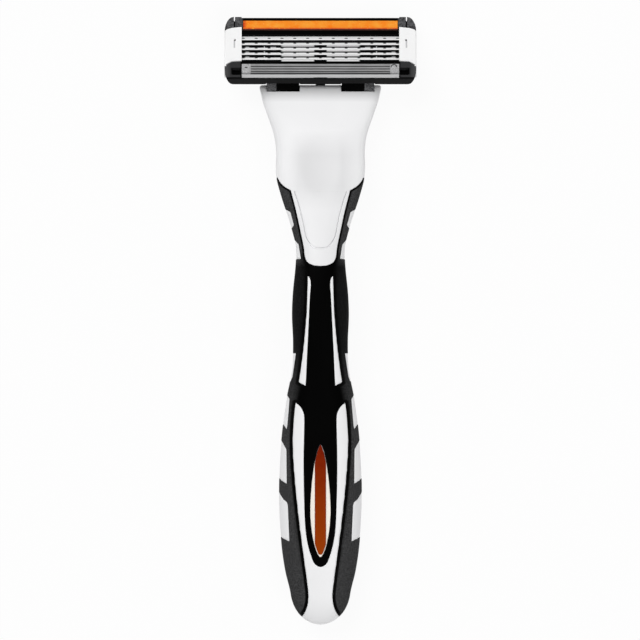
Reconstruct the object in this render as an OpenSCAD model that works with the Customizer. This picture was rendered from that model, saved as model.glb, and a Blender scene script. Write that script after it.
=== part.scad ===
// Cartridge razor, lying on its back with the shaving face up.
// The head points to -Y and the butt of the handle to +Y. The floor is z = 0.
// Five sprung blades sit in a cartridge that tilts on two pins. The pins are held by
// a connector, which plugs into the neck of a white handle with rubber grips.
// Left is +X: the side on the left when the razor is seen from above, head up.

/* [Handle] */
// Length of the handle, from the neck's edge to the butt
handle_length = 122.3; // [114:0.1:130]
// Width of the belly, the widest part that the hand holds
belly_width = 18.8; // [17.4:0.1:20.2]
// Width of the neck at its edge, under the head
neck_width = 27.9; // [26.4:0.1:29.4]
// Height of the neck's upper face at its edge
neck_top = 9; // [8.8:0.05:9.2]
// Radius on the neck's edge
neck_edge_r = 0.8; // [0.4:0.1:1.2]

/* [Grips] */
// Thickness of the rubber skins
grip_t = 1; // [0.7:0.05:1.2]
// Rounding at the corners of the side windows
window_r = 0.15; // [0.1:0.05:0.3]
// White margin between the back grip and the side grips
back_margin = 0.9; // [0.6:0.1:1.4]
// Grooves across the back grip
back_grooves = 12; // [9:1:16]

/* [Lens] */
// Length of the pointed lens in the front grip
lens_length = 25.6; // [20:0.1:28]
// Width of the lens at its middle
lens_width = 4.76; // [3.8:0.02:5.4]
// Thickness of the lens
lens_t = 1; // [0.8:0.05:1.2]
// Width of the orange bar in the lens
bar_width = 2.5; // [1.6:0.1:3]
// Thickness of the orange bar
bar_t = 0.4; // [0.3:0.05:0.5]

/* [Release button] */
// Thickness of the button's plate
button_t = 1.5; // [1.2:0.1:1.8]
// Gap between the button and the cover round it
button_gap = 0.15; // [0.1:0.01:0.25]
// Diameter of the button's two trunnions
trunnion_d = 1.6; // [1.4:0.1:1.8]
// Gap between a trunnion and its slot
trunnion_gap = 0.08; // [0.04:0.01:0.1]

/* [Head] */
// Width of the cartridge
head_width = 43.5; // [42:0.1:46]
// Width of the bare ridge between the blades and the cap's tray
cap_ridge = 1.07; // [0.9:0.01:1.3]
// Angle between the shaving face and the floor
face_tilt = 30; // [28:0.5:31]
// Height of the face's guard edge above the floor
guard_edge_z = 13.4; // [13.2:0.05:13.6]
// Depth of the cartridge's housing behind the face
frame_depth = 4.7; // [4.6:0.02:4.8]
// Size of the head's rounded corners beside the guard, across and along
front_corner = [1.85, 3.4]; // [1:0.05:4]
// Size of the head's rounded corners beside the cap, across and along
back_corner = [1.9, 3.2]; // [1:0.05:4]
// Width of a clip's plate over the end of the face
clip_width = 3.7; // [3.3:0.05:3.9]
// Thickness of the clips
clip_t = 0.4; // [0.3:0.02:0.45]

/* [Blades] */
// Pitch of the blades along the face
blade_pitch = 1.29; // [1.27:0.01:1.31]
// Width of a blade, edge to back
blade_width = 1.28; // [1.2:0.02:1.32]
// Thickness of a blade
blade_t = 0.1; // [0.08:0.01:0.12]
// Angle between a blade and the face
blade_tilt = 22; // [20:1:24]
// Travel of each blade into the cartridge
blade_travel = 0.4; // [0.3:0.02:0.45]
// Thickness of a blade's bent support
support_t = 0.18; // [0.15:0.01:0.2]

/* [Strips] */
// Width of the lubricating strip
lube_width = 2.66; // [2.3:0.02:2.7]
// Distance from each end of the lubricating strip to the clip beside it
lube_end_gap = 0.35; // [0.25:0.05:1]
// Width of the rubber guard
guard_width = 3.75; // [3.6:0.05:3.8]
// Grooves between the guard's fins
guard_grooves = 3; // [2:1:4]

/* [Pivot] */
// Distance of the pivot from the guard edge, along the face
pivot_back = 3.4; // [3.35:0.01:3.45]
// Depth of the pivot behind the face
pivot_depth = 3.5; // [3.45:0.01:3.55]
// Diameter of the pivot pins
pivot_pin_d = 1; // [0.8:0.05:1.1]
// Radial clearance of the pins in the housing
running_gap = 0.04; // [0.02:0.005:0.06]
// Width of each connector arm
arm_width = 7.4; // [6.8:0.1:7.6]
// Diameter of the return plunger
plunger_d = 2.2; // [2:0.05:2.3]

/* [Hidden] */
$fn = 48;
fit = 0.02;
beyond = 20;

// The handle is drawn along a station t, in millimetres from the neck's edge at the
// usual length. station_end is the butt, and the butt's dome starts at dome_start.
station_end = 122.3;
dome_start = 115.4;
neck_y = -53.4;
length_scale = handle_length / station_end;
width_scale = belly_width / 18.8;
neck_half = neck_width / 2;
section_sides = 24;
mid_z = 8;

// Each row: station, half width, top, bottom, squareness of the section.
handle_rows = [
    [0, neck_half, neck_top, 3.7, 3.4],
    [3.6, neck_half - 0.85, neck_top + 0.2, 3.4, 3.3],
    [7.5, neck_half - 2.17, neck_top + 0.45, 3.4, 3.1],
    [11, 10.6 * width_scale, 9.8, 3.7, 2.9],
    [14.5, 10.08 * width_scale, 10.3, 4.1, 2.8],
    [20.5, 10.05 * width_scale, 11.4, 4.8, 2.7],
    [25, 8.95 * width_scale, 12.4, 5.2, 2.6],
    [29.2, 7.59 * width_scale, 13.3, 5.4, 2.5],
    [33, 6.42 * width_scale, 14, 5.4, 2.4],
    [36.5, 5.62 * width_scale, 14.6, 5.2, 2.4],
    [40.5, 5.62 * width_scale, 15.1, 4.8, 2.3],
    [47, 6.25 * width_scale, 15.5, 3.9, 2.3],
    [52, 6.46 * width_scale, 15.5, 3.2, 2.3],
    [58.5, 6.22 * width_scale, 15.3, 2.5, 2.3],
    [64.5, 6.46 * width_scale, 15, 1.8, 2.3],
    [71.8, 7.82 * width_scale, 14.8, 0.95, 2.3],
    [82, 9 * width_scale, 14.6, 0.2, 2.3],
    [94, 9.4 * width_scale, 14, 0, 2.3],
    [104, 8.85 * width_scale, 13, 0.35, 2.3],
    [110, 8 * width_scale, 12.1, 1.1, 2.3],
    [115.4, 6.75 * width_scale, 11, 2.2, 2.3],
    [122.3, 6.2 * width_scale, 9.8, 3.2, 2.3]];

function row_at(rows, t, i = 0) =
    i >= len(rows) - 2 || t < rows[i + 1][0] ? i : row_at(rows, t, i + 1);
function slope_at(rows, column, i) =
    let (low = max(i - 1, 0), high = min(i + 1, len(rows) - 1))
    (rows[high][column] - rows[low][column]) / (rows[high][0] - rows[low][0]);
// Smooth value of one column between the rows: a cubic with matched slopes
function along(rows, column, t) =
    let (i = row_at(rows, t), gap = rows[i + 1][0] - rows[i][0])
    let (u = (t - rows[i][0]) / gap)
    let (m0 = slope_at(rows, column, i) * gap, m1 = slope_at(rows, column, i + 1) * gap)
    (2 * u ^ 3 - 3 * u ^ 2 + 1) * rows[i][column] + (u ^ 3 - 2 * u ^ 2 + u) * m0
    + (3 * u ^ 2 - 2 * u ^ 3) * rows[i + 1][column] + (u ^ 3 - u ^ 2) * m1;

function y_at(t) = neck_y + t * length_scale;
function edge_round(t) =
    t >= neck_edge_r ? 0 : neck_edge_r - sqrt(neck_edge_r ^ 2 - (neck_edge_r - t) ^ 2);
function dome(t, inset) =
    t <= dome_start ? 1 : sqrt(max(0.001, 1 - ((t - dome_start) / (station_end - inset - dome_start)) ^ 2));
function half_w(t, inset = 0) =
    (along(handle_rows, 1, t) - edge_round(t) - inset) * dome(t, inset);
function half_h(t, inset = 0) =
    ((along(handle_rows, 2, t) - along(handle_rows, 3, t)) / 2 - edge_round(t) - inset) * dome(t, inset);
function centre_z(t) = (along(handle_rows, 2, t) + along(handle_rows, 3, t)) / 2;
function square(t) = along(handle_rows, 4, t);
// Height of the handle's upper surface at x
function surface_z(x, t) =
    centre_z(t) + half_h(t) * (1 - min(1, abs(x) / half_w(t)) ^ square(t)) ^ (1 / square(t));

function section(t, inset) =
    let (w = half_w(t, inset), h = half_h(t, inset), e = 2 / square(t))
    [for (k = [0 : section_sides - 1])
        let (c = cos(360 * k / section_sides), s = sin(360 * k / section_sides))
        [w * sign(c) * abs(c) ^ e, y_at(t), centre_z(t) + h * sign(s) * abs(s) ^ e]];
function handle_stations(inset) = concat(
    [0, neck_edge_r * 0.3, neck_edge_r],
    [for (k = [0 : 26]) 2.2 + 4.27 * k],
    [for (a = [0, 16, 32, 46, 58, 68, 77, 85]) dome_start + (station_end - inset - dome_start) * sin(a)]);

// The handle's whole body, or the same body shrunk by inset
module handle_solid(inset = 0) {
    stations = handle_stations(inset);
    n = section_sides;
    last = len(stations) - 1;
    points = [for (t = stations) each section(t, inset)];
    // the facets of the right half mirror those of the left half
    sides = [for (i = [0 : last - 1], k = [0 : n - 1])
        let (a = i * n + k, b = i * n + (k + 1) % n, on_left = k < n / 4 || k >= n * 3 / 4)
        each on_left ? [[a, b, b + n], [a, b + n, a + n]] : [[a, b, a + n], [b, b + n, a + n]]];
    caps = [[for (k = [n - 1 : -1 : 0]) k], [for (k = [0 : n - 1]) last * n + k]];
    polyhedron(points, concat(sides, caps), convexity = 4);
}

// A strip of the handle's upper surface, between two depths under it.
// half_rows gives the strip's half width at each station.
module surface_strip(half_rows, top, bottom) {
    columns = 7;
    count = len(half_rows);
    function layer(depth) = [for (row = half_rows, k = [0 : columns - 1])
        let (x = row[1] * (2 * k / (columns - 1) - 1))
        [x, y_at(row[0]), surface_z(x, row[0]) - depth]];
    function grid(first, up) = [for (j = [0 : count - 2], k = [0 : columns - 2])
        let (a = first + j * columns + k)
        each up ? [[a, a + columns, a + 1], [a + 1, a + columns, a + columns + 1]]
                : [[a, a + 1, a + columns], [a + 1, a + columns + 1, a + columns]]];
    under = count * columns;
    long_sides = [for (j = [0 : count - 2])
        let (a = j * columns, b = a + columns - 1)
        each [[a, a + under, a + columns], [a + columns, a + under, a + columns + under],
              [b, b + columns, b + under], [b + columns, b + columns + under, b + under]]];
    last = (count - 1) * columns;
    ends = [for (k = [0 : columns - 2])
        each [[k, k + 1, k + under], [k + 1, k + 1 + under, k + under],
              [last + k, last + k + under, last + k + 1],
              [last + k + 1, last + k + under, last + k + 1 + under]]];
    polyhedron(concat(layer(top), layer(bottom)),
               concat(grid(0, true), grid(under, false), long_sides, ends), convexity = 4);
}

function plan(points) = [for (p = points) [p[0] * width_scale, y_at(p[1])]];
function both_sides(points) = concat(points,
    [for (i = [len(points) - 1 : -1 : 0]) if (points[i][0] != 0) [-points[i][0], points[i][1]]]);
module upper_prism(points) {
    translate([0, 0, mid_z])
    linear_extrude(beyond) polygon(plan(points));
}

// Plan of the neck cover, as half outline: the full neck, two hollow curves where the
// rubber wings start, and a tongue with a round end
cover_outline = [
    [16, -2], [16, 20.9], [9.75, 21], [9.13, 22.1], [8.23, 23], [6.75, 23.88], [5.58, 28.4],
    [4.59, 33], [3.84, 36.6], [3.46, 39.2], [2.9, 40.2], [1.5, 40.85], [0, 41]];
// Plan of the line where the front grip meets the side grips. Beside a white streak it
// runs hidden under the white.
seam_outline = [
    [3.46, 39.2], [2.7, 43.4], [2.6, 45.5], [2.85, 51.8], [3.15, 55.8], [3.4, 59.9], [3.8, 64],
    [4.1, 67.6], [4.6, 70], [5.2, 72.6], [4.9, 75], [4.9, 85], [4.6, 93], [4.1, 101],
    [3.5, 104.5], [2.8, 108.5], [0, 110.5]];
// White streak between the front grip and a side grip
streak_outline = [
    [2.91, 43.2], [2.94, 45.6], [2.98, 47.7], [3.18, 51.8], [3.5, 55.8], [3.91, 59.9],
    [4.45, 64], [4.93, 67.35], [3.42, 68.1], [3.28, 66], [3.12, 62], [2.92, 57.9],
    [2.62, 51.8], [2.42, 47.7], [2.24, 45], [2.47, 43.75]];
// White chin at the butt, as half outline: it wraps the front grip's round end and
// rises beside it as a second streak with a slanted tip.
chin_outline = [
    [0, 109.2], [0.85, 108.9], [1.54, 108.2], [2.11, 106.8], [2.55, 105.45], [2.9, 104.1],
    [3.16, 102.7], [3.35, 101.4], [3.57, 98.7], [3.68, 95.9], [3.78, 91.9], [3.84, 87.8],
    [3.84, 83.7], [3.77, 79.6], [3.7, 76.2], [3.72, 75.2], [3.9, 74.2], [4.64, 72.85],
    [5.67, 71.96], [5.8, 72.8], [6.03, 74.9], [6.18, 76.9], [6.3, 79.6], [6.3, 82.3],
    [6.17, 85.1], [5.88, 89.1], [5.5, 93.2], [5.05, 97.3], [4.55, 101.4], [4.19, 104.1],
    [3.84, 106.8], [3.45, 109.5], [3.05, 112.7], [2.82, 114.5], [2.75, 115.8], [2.84, 117.2],
    [3.05, 118.1], [3.4, 119.05], [3.96, 119.95], [4.35, 120.4], [16, 120.9], [16, 126],
    [0, 126]];
// Side windows, seen from above; the outer corners lie beyond the handle's side
side_windows = [
    [[6.88, 28.8], [6.08, 31.75], [6.6, 32.5], [12, 32.5], [12, 26]],
    [[5.02, 36.15], [4.5, 39.4], [12, 39.9], [12, 28.1]],
    [[5.62, 60.8], [6.37, 66], [6.8, 67.1], [12, 67.1], [12, 60.8]],
    [[7.05, 71.2], [7.55, 77.1], [7.72, 78], [12, 72], [12, 63]],
    [[7.79, 82.5], [7.7, 90.35], [8.85, 89.65], [12, 86.2], [12, 75.1]],
    [[8.42, 93.9], [7.67, 94.5], [7.46, 95.2], [7.1, 103.4], [8.8, 102.6], [12, 99], [12, 86],
     [9.2, 92.7]]];
window_low = 4.6;
// Half width of the white back, where the side grips end under the handle
back_rows = [
    [20, 12], [24, 8.6], [30, 5.6], [38, 4], [50, 4.2], [64, 4.4], [76, 5.4], [90, 6.2],
    [104, 5.6], [113, 4.3], [119, 3.4], [123, 6.5], [127, 9]];
back_grip_start = 44;
back_grip_end = 112;

function edge_points(rows, from, to, step, offset) =
    [for (t = [from : step : to]) [along(rows, 1, t) - offset, t]];

module windows() {
    // each window's white land, and its root inside the handle
    for (corners = side_windows, part = [[0, window_low, beyond], [-1.4, window_low + 0.6, 3.4]])
        translate([part[0], 0, part[1]])
        linear_extrude(part[2])
        offset(r = window_r, $fn = 8) offset(delta = -window_r)
        polygon(plan(corners));
}

// Everything that the side and front grips fill, and the space outside it
module skin_space() {
    difference() {
        translate([-beyond, y_at(20.5), -1]) cube([2 * beyond, y_at(124) - y_at(20.5), beyond]);
        handle_solid(grip_t);
        upper_prism(both_sides(cover_outline));
        upper_prism(both_sides(chin_outline));
        translate([0, 0, mid_z - beyond])
        linear_extrude(beyond) polygon(plan(both_sides(edge_points(back_rows, 20, 126, 2.65, 0))));
        for (side = [0, 1])
            mirror([side, 0, 0]) {
                upper_prism(streak_outline);
                windows();
            }
    }
}
module inside_seam() {
    upper_prism(both_sides(concat([[0, 39.4]], seam_outline)));
}
module side_grip() {
    color("#3a3a3a")
    difference() {
        intersection() {
            handle_solid();
            skin_space();
            translate([0, neck_y, -1]) cube([beyond, 2 * handle_length, beyond]);
        }
        inside_seam();
        // fine grooves under the belly
        for (t = [80 : 4 : 100])
            hull() {
                translate([along(back_rows, 1, t) + 1, y_at(t), -0.1]) sphere(r = 0.45, $fn = 8);
                translate([12, y_at(t - 1.5), 4.6]) sphere(r = 0.45, $fn = 8);
            }
    }
}
module front_grip() {
    color("#161616")
    difference() {
        intersection() {
            handle_solid();
            skin_space();
            inside_seam();
        }
        lens_space(1);
    }
}

module back_grip_space() {
    difference() {
        translate([0, 0, mid_z - beyond])
        linear_extrude(beyond)
        offset(r = 1, $fn = 16) offset(delta = -1)
        polygon(plan(both_sides(concat([[0, back_grip_start]],
            edge_points(back_rows, back_grip_start + 1, back_grip_end - 1, 3, back_margin),
            [[0, back_grip_end]]))));
        handle_solid(grip_t);
    }
}
module back_grip() {
    color("#262626")
    difference() {
        intersection() {
            handle_solid();
            back_grip_space();
        }
        for (i = [0 : back_grooves - 1])
            let (t = 50 + i * 56 / (back_grooves - 1))
            hull() {
                for (side = [-1, 1])
                    translate([side * 2.6, y_at(t), along(handle_rows, 3, t)]) sphere(r = 0.45, $fn = 8);
            }
    }
}

// The lens is widest past its middle and rounded at both ends.
lens_widest = 96.3;
lens_rise = 0.582 * lens_length / length_scale;
lens_fall = lens_length / length_scale - lens_rise;
function lens_half(t) =
    let (u = abs(t - lens_widest) / (t < lens_widest ? lens_rise : lens_fall))
    lens_width / 2 * (1 - min(1, u) ^ 1.6) ^ 0.6;
function lens_t_at(u) = lens_widest + u * (u < 0 ? lens_rise : lens_fall);
lens_rows = [for (u = [-0.998, -0.97, -0.9, -0.75, -0.5, -0.25, 0, 0.25, 0.5, 0.75, 0.9, 0.97, 0.998])
    let (t = lens_t_at(u)) [t, lens_half(t)]];
bar_rows = [for (u = [-0.96, -0.9, -0.75, -0.6, -0.4, -0.2, 0, 0.2, 0.4, 0.6, 0.75, 0.87, 0.94])
    let (t = lens_t_at(u)) [t, min(bar_width / 2, lens_half(t) - 0.12)]];

// The pocket for the lens, open upwards
module lens_space(height) {
    surface_strip(lens_rows, -height, lens_t);
}
module lens_insert() {
    color("#f4ece0")
    difference() {
        surface_strip(lens_rows, 0, lens_t);
        surface_strip(bar_rows, -1, bar_t);
    }
}
module accent_bar() {
    color("#a04000")
    surface_strip(bar_rows, 0.03, bar_t);
}

// Connector: measures inside the neck
arm_out = neck_half - 1.75;
arm_in = arm_out - arm_width;
yoke_floor = 5.1;
yoke_top = 7.7;
yoke_back = neck_y + 3.2;
tongue_half = 7.4;
tongue_top = 6.4;
tongue_end = neck_y + 13;
barrel_half = plunger_d / 2 + 0.9;
barrel_end = neck_y + 7.8;
plunger_z = (yoke_floor + yoke_top) / 2;
slack = 0.15;

// Space in the neck for the connector
module connector_space() {
    translate([-arm_out - slack, neck_y - 5, yoke_floor - slack])
        cube([2 * arm_out + 2 * slack, yoke_back + slack - neck_y + 5, yoke_top - yoke_floor + 2 * slack]);
    translate([-tongue_half - slack, neck_y - 5, yoke_floor - slack])
        cube([2 * tongue_half + 2 * slack, tongue_end + slack - neck_y + 5, tongue_top - yoke_floor + 2 * slack]);
    translate([-barrel_half - slack, neck_y - 5, yoke_floor - slack])
        cube([2 * barrel_half + 2 * slack, barrel_end + slack - neck_y + 5, yoke_top - yoke_floor + 2 * slack]);
}
// Notches in the neck's edge, where the arms rise
notch_y = neck_y + 1.35;
notch_slack = 0.1;
notch_r = 0.2;
module arm_notches() {
    for (side = [-1, 1])
        translate([side * (arm_in + arm_out) / 2, neck_y, yoke_top - 0.05])
        linear_extrude(beyond)
        hull() {
            for (x = [-1, 1])
                translate([x * (arm_width / 2 + notch_slack - notch_r), notch_y + notch_slack - neck_y - notch_r])
                circle(r = notch_r, $fn = 16);
            translate([-arm_width / 2 - notch_slack, -5]) square([arm_width + 2 * notch_slack, 4]);
        }
}

// Release button: a tongue in the cover that tips on two trunnions
trunnion_t = 23;
trunnion_y = y_at(trunnion_t);
trunnion_z = 9;
trunnion_in = 2.4;
trunnion_out = 4.4;
button_start = 24.1;
button_rows = [
    [button_start, 5.95], [26, 5.25], [29.3, 4.33], [31.5, 3.85], [33, 3.58],
    [34.5, 3.2], [35.5, 2.62], [36.3, 1.9], [36.75, 1.2]];
button_end = button_rows[len(button_rows) - 1][0];
// Outline of the button with a gap; the slot reaches back by button_sway, because the
// plate moves back as it tips
button_sway = 0.28;
function widened(rows, by) =
    [for (row = rows) [row[1] + by, row[0] + (row[0] > button_start ? button_sway : 0)]];
lever_half = 1.6;
lever_end = neck_y + 11.2;
lever_z = 6.9;

module button_slot() {
    upper_prism(both_sides(concat([[button_rows[0][1] + button_gap, button_start - button_gap]],
        widened(button_rows, button_gap), [[1, button_end + 0.6]])));
}
module release_button() {
    color("#f2f2f2")
    difference() {
        union() {
            surface_strip(button_rows, 0, button_t);
            // web down to the trunnions
            translate([-trunnion_in, trunnion_y - 0.6, trunnion_z - 1])
                cube([2 * trunnion_in, 3.4, 1.9]);
            translate([-trunnion_in, trunnion_y + 1.2, trunnion_z])
                cube([2 * trunnion_in, 1.6, surface_z(0, button_start) - button_t - trunnion_z + 0.4]);
            translate([-trunnion_out, trunnion_y, trunnion_z])
                rotate([0, 90, 0]) cylinder(d = trunnion_d, h = 2 * trunnion_out);
            // lever that reaches forward to the latch
            translate([-lever_half, 0, 0])
            rotate([90, 0, 90])
            linear_extrude(2 * lever_half)
            polygon([[trunnion_y + 1, trunnion_z + 0.5], [trunnion_y - 1, trunnion_z + 0.4],
                [lever_end, lever_z + 0.7], [lever_end, lever_z - 0.3], [lever_end + 1, lever_z - 0.3],
                [lever_end + 1.6, lever_z], [trunnion_y - 1, trunnion_z - 0.6],
                [trunnion_y + 1, trunnion_z - 0.9]]);
        }
        // spring seat under the thumb pad
        translate([0, spring_y, 0]) cylinder(d = spring_d + 0.5, h = spring_top);
    }
}
// Space for the button's parts under the cover
module button_space() {
    // path of the lever, with its rise when the button is pressed
    lever_rise = 0.9;
    translate([-lever_half - 0.3, 0, 0])
    rotate([90, 0, 90])
    linear_extrude(2 * lever_half + 0.6)
    polygon([[trunnion_y - 1, trunnion_z + 0.6], [lever_end - 0.4, lever_z + 0.7 + lever_rise],
        [lever_end - 0.4, lever_z - 0.6], [lever_end + 1.8, lever_z - 0.6],
        [trunnion_y - 1, trunnion_z - 1.2]]);
    // room for the web
    translate([-trunnion_in - 0.15, trunnion_y - 1.6, trunnion_z - 1.5])
        cube([2 * trunnion_in + 0.3, 5.2, 2.9]);
    for (side = [-1, 1])
        translate([side * (trunnion_in + trunnion_out + 0.2) / 2, trunnion_y, trunnion_z])
        cube([trunnion_out - trunnion_in + 0.4, trunnion_d + 2 * trunnion_gap,
              trunnion_d + 2 * trunnion_gap], center = true);
    // room for the plate's travel and its spring
    translate([0, 0, split_low])
    linear_extrude(surface_z(0, button_end) - button_t - split_low)
    polygon(plan(both_sides(concat([[button_rows[0][1], button_start - button_gap + 0.02]],
        widened(button_rows, button_gap + 0.02), [[1, button_end + 0.58]]))));
}
split_low = 9.5;
spring_y = y_at(32.6);
spring_d = 3;
spring_foot = split_low;
spring_top = surface_z(0, 32.6) - button_t + 0.3;

// A coil of round wire, standing on its first turn
module coil(coil_d, wire_d, turns, height) {
    steps = 10;
    wire_sides = 5;
    count = turns * steps;
    rise = (height - wire_d) / count;
    points = [for (i = [0 : count], k = [0 : wire_sides - 1])
        let (a = 360 * i / steps, b = 360 * k / wire_sides)
        let (r = (coil_d - wire_d) / 2 + cos(b) * wire_d / 2)
        [r * cos(a), r * sin(a), wire_d / 2 + i * rise + sin(b) * wire_d / 2]];
    sides = [for (i = [0 : count - 1], k = [0 : wire_sides - 1])
        let (a = i * wire_sides + k, b = i * wire_sides + (k + 1) % wire_sides)
        each [[a, b, b + wire_sides], [a, b + wire_sides, a + wire_sides]]];
    caps = [[for (k = [wire_sides - 1 : -1 : 0]) k],
            [for (k = [0 : wire_sides - 1]) count * wire_sides + k]];
    polyhedron(points, concat(sides, caps), convexity = 10);
}
module button_spring() {
    color("silver")
    translate([0, spring_y, spring_foot]) coil(spring_d, 0.35, 4, spring_top - spring_foot);
}

// The cover lies on a sloping parting line
split_front = 6.4;
module above_split() {
    translate([-beyond, 0, 0])
    rotate([90, 0, 90])
    linear_extrude(2 * beyond)
    polygon([[neck_y - 5, split_front], [y_at(18), split_low], [y_at(60), split_low],
             [y_at(60), 30], [neck_y - 5, 30]]);
}
module cover_space() {
    intersection() {
        translate([0, 0, -1])
        linear_extrude(2 * beyond) polygon(plan(both_sides(cover_outline)));
        above_split();
    }
}
// Shallow hollow where the thumb rests
module thumb_hollow() {
    hollow_r = 26;
    depth = 0.55;
    for (i = [0 : 8])
        hull() {
            for (t = [12 + i * 1.4, 12 + (i + 1) * 1.4])
                let (rise = surface_z(0, t) + hollow_r - depth * sin((t - 11) / 14.6 * 180))
                translate([0, y_at(t), rise])
                rotate([90, 0, 0])
                cylinder(r = hollow_r, h = 0.1, $fn = 96);
        }
}
module neck_cover() {
    color("#f5f5f5")
    difference() {
        intersection() {
            handle_solid();
            cover_space();
        }
        connector_space();
        arm_notches();
        button_slot();
        button_space();
        thumb_hollow();
    }
}

module handle_core() {
    color("white")
    difference() {
        handle_solid();
        skin_space();
        back_grip_space();
        lens_space(3);
        cover_space();
        connector_space();
        arm_notches();
        button_space();
    }
}

// The head is drawn on its own face: x across, -y from the guard edge to the cap edge,
// z out of the face. at_face turns and lifts that drawing onto the razor.
guard_edge_y = -54.81;
module at_face() {
    translate([0, guard_edge_y, guard_edge_z]) rotate([face_tilt, 0, 0]) children();
}
// Extrudes a profile of [distance from guard edge, height] points across the head
module across(points, half) {
    translate([-half, 0, 0])
    rotate([90, 0, 90])
    linear_extrude(2 * half) polygon([for (p = points) [-p[0], p[1]]]);
}
// A block of the head: two ends in x, two distances from the guard edge, two heights
module block(x, s, z) {
    translate([x[0], -s[1], z[0]]) cube([x[1] - x[0], s[1] - s[0], z[1] - z[0]]);
}
function face_y(s, z) = guard_edge_y - s * cos(face_tilt) - z * sin(face_tilt);
function face_z(s, z) = guard_edge_z - s * sin(face_tilt) + z * cos(face_tilt);
// Height, in the face's own drawing, at which the floor lies
function floor_at(s) = (s * sin(face_tilt) - guard_edge_z) / cos(face_tilt);

pivot_y = face_y(pivot_back, -pivot_depth);
pivot_z = face_z(pivot_back, -pivot_depth);
head_half = head_width / 2;
frame_half = head_half - 0.05;
face_half = head_half - clip_width - 0.2;
lube_half = face_half - lube_end_gap;
lip = 0.22;
guard_back = lip + guard_width;
bay_half = face_half + 0.75;
bay_front = guard_back + 0.63;
first_edge = bay_front + 0.47;
bay_back = first_edge + 4 * blade_pitch + blade_width * cos(blade_tilt) + 0.13;
bay_floor = 3.75;
tray_front = bay_back + cap_ridge;
tray_depth = 1.9;
// length of the shaving face, guard edge to cap edge
face_length = tray_front + 0.1 + lube_width + lip;
clip_front = bay_front - 0.2;
clip_back = face_length - 2.2;
rib_half = 1.35;
recess_top = 2.1;
recess_back = pivot_back + 2;
window_front = recess_back + 0.5;
window_outer = 8.8;
cheek = 0.12;
clip_seat = -0.05;
corner_front = clip_back + 0.05;
corner_reach = face_length + 0.65;

// Outline of the whole head seen from above, with long rounded corners
head_low = face_y(0, -2.5);
head_high = face_y(corner_reach, 0);
module head_column(half) {
    right = concat(
        [for (a = [90 : -15 : 0])
            [half - front_corner[0] * (1 - cos(a)), head_low - front_corner[1] * (1 - sin(a))]],
        [for (a = [0 : 15 : 90])
            [half - back_corner[0] * (1 - cos(a)), head_high + back_corner[1] * (1 - sin(a))]]);
    translate([0, 0, -1])
    linear_extrude(2 * beyond)
        polygon(concat(right, [for (i = [len(right) - 1 : -1 : 0]) [-right[i][0], right[i][1]]]));
}
// Outline of a clip's plate on the face
module clip_outline() {
    polygon([[face_half, -clip_front - 0.2], [face_half + 2.2, -clip_front - 0.05],
        [face_half + 3, -clip_front + 0.4], [head_half, -clip_front + 1.05], [head_half, -clip_back + 1.05],
        [head_half - 0.6, -clip_back + 0.6], [head_half - 1.6, -clip_back + 0.25], [face_half, -clip_back]]);
}

module cartridge_frame() {
    color("#151515")
    intersection() {
        head_column(frame_half);
        at_face() frame_body();
    }
}
module frame_body() {
    difference() {
        across([[0.15, 0], [0, -0.15], [0, -2.5], [1.4, -frame_depth], [face_length - 0.7, -frame_depth],
            [face_length, -frame_depth + 0.8], [face_length, -0.4], [face_length - 0.3, 0]], frame_half);
        // seat of the guard
        block([-face_half, face_half], [lip, lip + guard_width], [-1, 2]);
        // blade bay and its rinse windows
        block([-bay_half, bay_half], [bay_front, bay_back], [-bay_floor, 2]);
        for (side = [-1, 1]) {
            block(side > 0 ? [rib_half, window_outer] : [-window_outer, -rib_half],
                  [window_front, bay_back + 0.4], [-9, -bay_floor + 0.1]);
            // recess for the connector arm, and the bore of its pin
            block(side > 0 ? [arm_in - cheek, arm_out + cheek] : [-arm_out - cheek, -arm_in + cheek],
                  [-1, recess_back], [-beyond, -recess_top]);
            translate([side * (arm_in + arm_out) / 2, -pivot_back, -pivot_depth])
                rotate([0, 90, 0])
                cylinder(d = pivot_pin_d + 2 * running_gap, h = arm_width + 2.4, center = true);
            // seat of the clip
            block(side > 0 ? [head_half - clip_t, beyond + 10] : [-beyond - 10, -head_half + clip_t],
                  [clip_front - 1.2, clip_back], [-9, 2]);
            mirror([side < 0 ? 1 : 0, 0, 0])
            translate([0, 0, clip_seat]) linear_extrude(2) clip_outline();
            // hollow in the front corner
            block(side > 0 ? [face_half - 0.05, face_half + 2.1] : [-face_half - 2.1, -face_half + 0.05],
                  [1, 2.9], [-0.9, 2]);
            // seat of the cap's corner block
            block(side > 0 ? [face_half, beyond + 10] : [-beyond - 10, -face_half],
                  [corner_front, beyond], [-tray_depth, 2]);
        }
        // seat of the cap tray
        block([-face_half, face_half], [tray_front, face_length - lip], [-tray_depth, 2]);
    }
}
module guard_strip() {
    color("#8c8e90")
    at_face()
    difference() {
        across([[lip, -1], [lip, -0.4], [lip + 0.2, -0.22], [1.32, -0.22], [1.4, -0.5], [1.58, -0.5],
            [1.64, -0.06], [lip + guard_width - 0.1, 0], [lip + guard_width, -0.12],
            [lip + guard_width, -1]], face_half - fit);
        for (i = [0 : guard_grooves - 1])
            let (s = 1.95 + i * 1.3 / (guard_grooves - 1))
            block([-face_half + 2.1, face_half - 2.1], [s - 0.12, s + 0.12], [-0.45, 2]);
        block([-1.45, 1.45], [0, 0.5], [-2, 2]);
    }
}

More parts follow.
